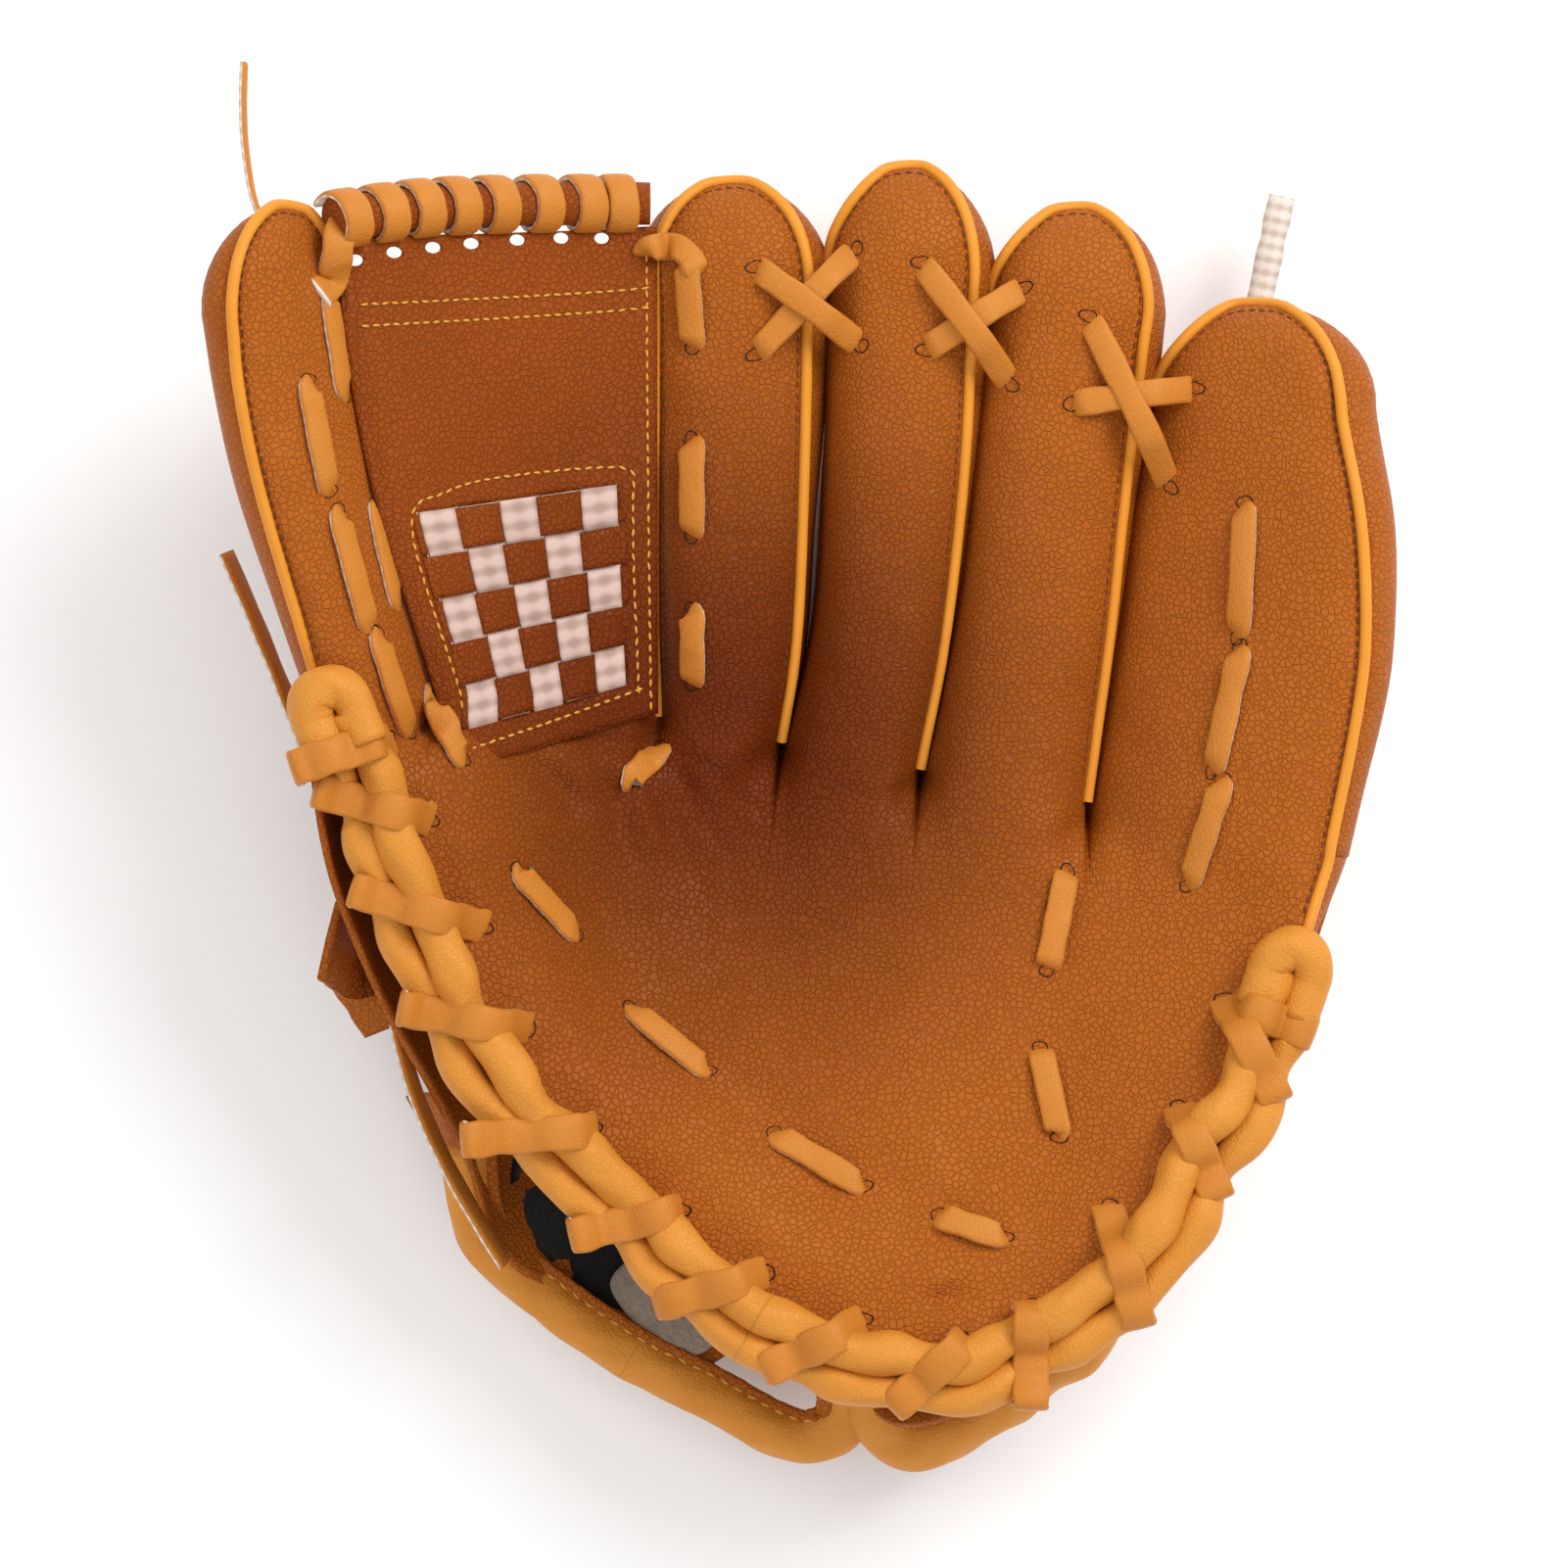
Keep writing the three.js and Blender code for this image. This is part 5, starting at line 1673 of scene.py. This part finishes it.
@dataclass
class Back:
    """The outside of the back, the linings, the wrist roll and the strap."""

    wrist_left: tuple = (
        (-79.4, -77.9, 30.0), (-78.2, -92.0, 26.0), (-73.4, -102.6, 22.0), (-59.2, -115.0, 19.5), (-41.2, -127.4, 18.5),
        (-23.2, -136.3, 20.0), (-8.5, -144.2, 22.5), (1.0, -146.6, 24.0), (8.6, -142.0, 26.0), (9.6, -133.4, 31.0),
        (8.3, -125.0, 37.0),
    )
    wrist_right: tuple = (
        (15.0, -127.0, 38.0), (15.6, -134.5, 33.0), (18.4, -142.6, 28.0), (25.2, -147.2, 26.0), (35.3, -143.2, 27.0),
        (48.8, -134.2, 32.0), (62.3, -123.1, 40.0), (74.0, -108.0, 49.0),
    )
    back_edge: tuple = (
        (-114.0, 22.0), (-109.0, -12.0), (-98.0, -42.0), (-88.0, -62.0), (-79.0, -82.0), (-73.0, -101.0), (-58.0, -114.0),
        (-41.0, -126.0), (-28.0, -131.0), (-18.5, -127.0), (-13.0, -119.0), (-2.0, -117.0), (5.0, -123.0), (11.0, -134.0),
        (22.0, -142.0), (40.0, -136.0), (60.0, -119.0),
        (79.0, -102.0), (93.0, -82.0), (104.0, -62.0), (114.0, -40.0), (123.0, -14.0),
    )

    def panels(self, inside: Ground) -> None:
        """The back as two sewn halves, rising at its edge to meet the heel binding."""
        edge = smooth_curve(self.back_edge, 241)
        top_x = np.interp(np.linspace(0, 1, 241), [0, 0.13, 0.36, 0.72, 0.9, 1], [-116, -82, -34, 63, 100, 127])
        top = np.stack([top_x, base_y(top_x) + 4], axis=1)
        for part, span, body, nodes in (
            ("thumb", slice(0, 131), Body.THUMB, ("thumb_heel_back", "thumb_heel_padding")),
            ("little", slice(130, 241), Body.LITTLE, ("little_heel_back", "little_heel_padding", "palm_back", "palm_padding",
                                                      "palm_lining")),
        ):
            rows = []
            for v in np.linspace(0, 1, 46):
                xy = edge[span] + (top[span] - edge[span]) * v**1.15
                low = FORM.back(xy[:, 0], xy[:, 1])
                share = np.linspace(0, 1, 241)[span]
                wrist = np.exp(-(((share - 0.4) / 0.22) ** 4))
                high = FORM.front(xy[:, 0], xy[:, 1]) - 15
                meet = high * (1 - wrist) + (low + 1) * wrist
                lip = (1 - v) ** 4
                z = low + (meet - low) * lip + 1.2
                # Between the thumb and the index finger it closes up against the root of the web.
                under_web = np.clip(np.minimum(xy[:, 0] + 84, -33 - xy[:, 0]) / 6, 0, 1)
                z += (FORM.front(xy[:, 0], xy[:, 1]) - 5 - low) * under_web * v**9
                rows.append(np.column_stack([xy, z]))
            grid = np.array(rows)
            points = grid.reshape(-1, 3)
            points[:, 2] += 0.5 * fixed_noise(points[:, :2], 24, 12)
            points[:, 2] = np.maximum(points[:, 2], 0.3)
            piece = make_object(f"back_{part}_half", points, grid_faces(46, grid.shape[1]), ["leather"])
            inside.include(piece)
            for polygon in piece.data.polygons:
                polygon.flip()
            thicken(piece, 1.6)
            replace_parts(bend_to(piece, body), *nodes)

    def linings(self, inside: Ground) -> None:
        """Black plush behind the thumb heel and grey fleece at the wrist."""
        for name, finish, corners, drop in (
            ("black_plush_lining", "plush", ((-68, -74), (-69, -90), (-60, -105), (-40, -117), (-26, -96), (-48, -64)), 2.2),
            ("grey_fleece_lining", "fleece", ((-30, -98), (-46, -110), (-34, -125), (-25, -126.5), (-18, -119), (-13, -104)),
             3.4),
        ):
            outline = smooth_curve([*corners, corners[0]], 60)[:-1]
            centre = outline.mean(axis=0)
            rings = [centre + (outline - centre) * s for s in np.linspace(1, 0.04, 16)]
            points = []
            for ring in rings:
                z = np.array([inside.hit(*spot)[0].z for spot in ring]) + drop
                points.append(np.column_stack([ring, z]))
            vertices = np.vstack(points)
            vertices[:, 2] += 0.4 * fixed_noise(vertices[:, :2], 9, 17)
            faces = grid_faces(16, len(outline), wrap=True)
            faces.append(tuple(range(15 * len(outline), 16 * len(outline))))
            piece = make_object(name, vertices, faces, [finish])
            for polygon in piece.data.polygons:
                if polygon.normal.z < 0:
                    polygon.flip()
            thicken(piece, 1.5)
            if finish == "fleece":
                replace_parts(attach(piece, Body.PALM.value), "fleece_lining")
            else:
                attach(piece, Body.THUMB.value)

    def side_wall(self) -> None:
        """The outside of the little-finger side, from its stall down to the end of the heel binding."""
        stall = STALLS["little"]
        angles = np.radians(np.linspace(-74, 20, 30))
        root = stall.point(np.full(30, stall.rows[0][0] + 0.6), angles)
        root[:, 0] += 7.5 * np.clip(np.cos(angles), 0, 1) * np.sin(np.pi * np.linspace(0.56, 1.0, 30)) ** 0.5
        rows = []
        for v in np.linspace(0, 1, 24):
            row = root + (np.array([112.5, -34.0, 0]) - np.array([121.0, -9.0, 0])) * v
            row[:, 0] -= 5.0 * v * v * (1 - np.linspace(0, 1, 30)) ** 0.5
            row[:, 2] += (FORM.front(111.0, -32.0) - 2.0 - root[-1, 2]) * v * np.linspace(0, 1, 30)
            rows.append(row)
        grid = np.array(rows)
        points = grid.reshape(-1, 3)
        piece = make_object("little_outer_wall", points, grid_faces(24, 30), ["leather"])
        for polygon in piece.data.polygons:
            if polygon.normal.x < 0:
                polygon.flip()
        thicken(piece, 1.6)
        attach(piece, Body.LITTLE.value)

    def wrist_rolls(self, stitch: bpy.types.NodeTree) -> None:
        """The padded roll round the wrist opening, sewn along its inner edge."""
        whole = smooth_curve(self.wrist_left, 241)
        cut = int(np.abs(whole[:, 0] + 41.2).argmin())
        spans = (
            ("wrist_roll_thumb_run", whole[: cut + 1], Body.THUMB, "wrist_roll_thumb", 5.2),
            ("wrist_roll_left_run", whole[cut:], Body.PALM, "wrist_roll_left", 5.2),
            ("wrist_roll_right_run", smooth_curve(self.wrist_right, 120), Body.PALM, "wrist_roll_right", 6.2),
        )
        for name, line, body, node, radius in spans:
            _, sides, ups = frames_along(line, np.tile([0, 0, 1.0], (len(line), 1)))
            arc = np.r_[0, np.cumsum(np.linalg.norm(np.diff(line, axis=0), axis=1))]
            if name == "wrist_roll_thumb_run":
                arc -= arc[-1]
            swell = 1 + 0.06 * fixed_noise(arc[:, None], 14, 40)
            angles = np.linspace(0, 2 * math.pi, 28, endpoint=False)
            rings = []
            for k, centre in enumerate(line):
                fold = 1 + 0.03 * np.sin(3 * angles + arc[k] / 4.0) + 0.02 * np.sin(6 * angles - arc[k] / 2.3)
                taper = 1.0
                if name == "wrist_roll_left_run":
                    taper = min(1.0, 0.55 + 0.45 * (len(line) - 1 - k) / 6)
                if name == "wrist_roll_right_run":
                    taper = min(1.0, 0.6 + 0.4 * k / 6)
                r = radius * swell[k] * taper
                rings.append(
                    centre + sides[k] * (np.cos(angles) * r * fold * 1.12)[:, None]
                    + ups[k] * (np.sin(angles) * r * fold)[:, None]
                )
            rings = np.array(rings)
            count = rings.shape[1]
            end = count * (len(rings) - 1)
            held = [*range(2 * count), *range(end - count, end + count)]
            tube = make_object(name, rings.reshape(-1, 3), capped_tube(rings), ["binding"])
            piece = fill_out(outward(tube), held)
            piece = bend_to(piece, body)
            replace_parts(piece, node)
            if name != "wrist_roll_right_run":
                row = line - sides * (radius * 0.92) + ups * (radius * 0.62)
                first, last = (40, len(row)) if name == "wrist_roll_thumb_run" else (0, int(len(row) * 0.72))
                made = run_group(
                    carrier(f"{name}_stitches", [row[first:last]]), stitch, "thread",
                    Pitch=3.6 * MM, Length=2.5 * MM, Radius=0.36 * MM,
                )
                made = bend_to(made, body)
                welt = row - sides * 0.3
                welt[:, 2] -= 0.6
                band = LaceWork(f"{name}_welt", Lace(4.4, 1.2))
                band.add(welt, np.tile([0.0, 0.0, 1.0], (len(welt), 1)))
                strip = band.finish(("leather", "leather"))
                strip = bend_to(strip, body)

    def strap(self) -> None:
        """The wrist strap: a band along the back and a tab that peels away from it."""
        band = LaceWork("wrist_strap_band_cover", Lace(17.0, 2.0))
        path = smooth_curve([(-72.5, -100, 16.0), (-79, -87, 18.0), (-84.5, -75.5, 20.5), (-89.5, -65.5, 23.0)], 40)
        band.add(path, np.tile([-0.95, -0.3, 0.65], (40, 1)))
        piece = band.finish(("leather", "leather"))
        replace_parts(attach(piece, Body.THUMB.value), "wrist_strap_band")
        _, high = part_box("wrist_strap_tab")
        tab = [(-95.5, -48.5, 29.5), (-99.5, -41.5, 32.0), (-104.0, -35.0, 35.0), (-109.5, -28.5, high.z / MM - 3.5)]
        line = smooth_curve(tab, 30)
        work = LaceWork("wrist_strap_tab_cover", Lace(19.0, 2.0))
        work.add(line, np.tile([-0.55, 0.35, 1.0], (30, 1)))
        piece = work.finish(("leather", "leather"))
        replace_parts(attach(piece, Body.TAB.value), "wrist_strap_tab")
        patch = LaceWork("hook_patch_cover", Lace(14.0, 1.0))
        patch.add(line[3:20] + np.array([0.6, -0.3, -1.7]), np.tile([-0.55, 0.35, 1.0], (17, 1)))
        piece = patch.finish(("hook", "hook"))
        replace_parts(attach(piece, Body.TAB.value), "hook_patch")

    def build(self, stitch: bpy.types.NodeTree) -> None:
        """Make the back."""
        inside = Ground()
        self.panels(inside)
        self.linings(inside)
        self.side_wall()
        self.wrist_rolls(stitch)
        self.strap()


@dataclass(frozen=True)
class LaceEnd:
    """A free end of lace: its path, the direction that its face turns to, and the body it leaves."""

    node: str
    body: Body
    path: tuple[Point3, ...]
    face: Point3
    width: float = 6.3

    def build(self) -> None:
        line = smooth_curve(self.path, 40)
        work = LaceWork(f"{self.node}_strip", Lace(self.width, 1.5))
        work.add(line, np.tile(self.face, (40, 1)))
        piece = work.finish()
        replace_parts(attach(piece, self.body.value), self.node)


LACE_ENDS = (
    LaceEnd("lace_tail_thumb_tip", Body.THUMB,
            ((-120.5, 131.5, 86), (-124.6, 138.5, 84), (-126.9, 150.8, 82), (-127.5, 161, 81.4), (-127.3, 170.6, 81)),
            (1.0, 0.12, 0.0)),
    LaceEnd("lace_tail_thumb_side", Body.THUMB,
            ((-105.0, -5, 52), (-112.3, 9, 52), (-119.5, 27, 52), (-127.0, 45.5, 53), (-133.6, 61.0, 54)),
            (0.95, 0.3, 0.42)),
    LaceEnd("lace_tail_wrist", Body.THUMB,
            ((-94.5, -47.5, 51), (-90.5, -63, 49), (-83.5, -80, 45), (-76, -94, 41), (-70.0, -104, 38)),
            (0.8, 0.42, 0.4)),
    LaceEnd("lace_tail_little", Body.LITTLE,
            ((103.6, 104, 23.5), (105.2, 113, 20), (107.6, 124, 19.5), (109.9, 135, 20), (112.2, 146, 21)),
            (0.0, 0.0, -1.0)),
    LaceEnd("lace_tail_heel", Body.LITTLE,
            ((66, -119, 37), (58.5, -127.5, 31), (50.5, -135.0, 26), (42.5, -142.0, 21), (35.0, -149.0, 16)),
            (0.3, -0.25, 0.92)),
)


# ---- studio ---------------------------------------------------------------------------------


@dataclass(frozen=True)
class Studio:
    """White floor and wall-free soft light, with the camera looking straight down."""

    camera_mm: Point3 = (-5.1, 7.5, 1560.0)
    lens: float = 150.0

    def camera(self) -> None:
        """Make the camera that the scene is seen through."""
        data = bpy.data.cameras.new("camera")
        data.lens, data.sensor_width, data.clip_end = self.lens, 36.0, 20.0
        camera = bpy.data.objects.new("camera", data)
        bpy.context.scene.collection.objects.link(camera)
        camera.location = tuple(c * MM for c in self.camera_mm)
        bpy.context.scene.camera = camera

    def light(self, name: str, energy: float, size: float, place: Point3, aim: Point3) -> None:
        """Add a square area light."""
        data = bpy.data.lights.new(name, "AREA")
        data.energy, data.size = energy, size
        lamp = bpy.data.objects.new(name, data)
        bpy.context.scene.collection.objects.link(lamp)
        lamp.location = place
        lamp.rotation_mode = "QUATERNION"
        lamp.rotation_quaternion = (Vector(aim) - Vector(place)).to_track_quat("-Z", "Y")

    def build(self) -> None:
        """Make the floor, lights and surroundings."""
        mesh = bpy.data.meshes.new("floor")
        mesh.from_pydata([(-4, -4, 0), (4, -4, 0), (4, 4, 0), (-4, 4, 0)], [], [(0, 1, 2, 3)])
        floor = bpy.data.objects.new("floor", mesh)
        bpy.context.scene.collection.objects.link(floor)
        material = bpy.data.materials.new("white_studio_floor")
        material.use_nodes = True
        shader = material.node_tree.nodes["Principled BSDF"]
        shader.inputs["Base Color"].default_value = (1, 1, 1, 1)
        shader.inputs["Roughness"].default_value = 0.9
        mesh.materials.append(material)
        self.light("key", 16.0, 0.8, (0.75, 0.75, 1.05), (0.0, 0.0, 0.04))
        self.light("fill", 6.0, 1.2, (-1.0, 0.5, 1.0), (0.0, 0.0, 0.04))
        self.light("front", 4.5, 1.2, (0.1, -1.1, 1.0), (0.0, 0.0, 0.04))
        world = bpy.data.worlds.new("studio")
        world.use_nodes = True
        world.node_tree.nodes["Background"].inputs["Color"].default_value = (1, 1, 1, 1)
        world.node_tree.nodes["Background"].inputs["Strength"].default_value = 0.6
        bpy.context.scene.world = world
        bpy.context.scene.view_settings.view_transform = "Standard"


def main() -> None:
    """Build the glove."""
    logging.basicConfig(level=logging.INFO)
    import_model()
    studio = Studio()
    studio.camera()
    for end in LACE_ENDS:
        end.build()
    sweep, stitch = sweep_group(), stitch_group()

    ground = Ground()
    halves = FrontSkin().build()
    for side, body, nodes in (
        ("left", Body.THUMB, ("thumb_front", "index_front", "middle_front", "palm_leather", "thumb_heel_leather")),
        ("right", Body.LITTLE, ("ring_front", "little_front", "little_heel_leather")),
    ):
        vertices, faces, normals = halves[side]
        skin = make_object(f"front_skin_{side}", vertices, faces, ["leather"])
        keep_normals(skin, normals)
        ground.include(skin)
        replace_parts(bend_to(skin, body), *nodes)

    Web().build(ground, sweep, stitch)
    Fingers().build(sweep, stitch, ground)
    Lacing().build(ground)
    binding = HeelBinding()
    holes = {"thumb": [], "little": []}
    for outer, hole in binding.wraps:
        holes["thumb" if outer[0] < 7 else "little"].append(hole)
    mouths = {part: Holes(f"heel_lace_holes_{part}", places).make(ground, 2.2) for part, places in holes.items()}
    works = binding.build(ground)
    for part, body, nodes in (
        ("thumb", Body.THUMB, ("heel_lace_thumb",)), ("little", Body.LITTLE, ("heel_lace_little", "heel_lace_center")),
    ):
        bend_to(mouths[part], body)
        piece = works[part].finish()
        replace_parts(bend_to(piece, body), *nodes)
    Back().build(stitch)
    studio.build()


if __name__ == "__main__":
    main()
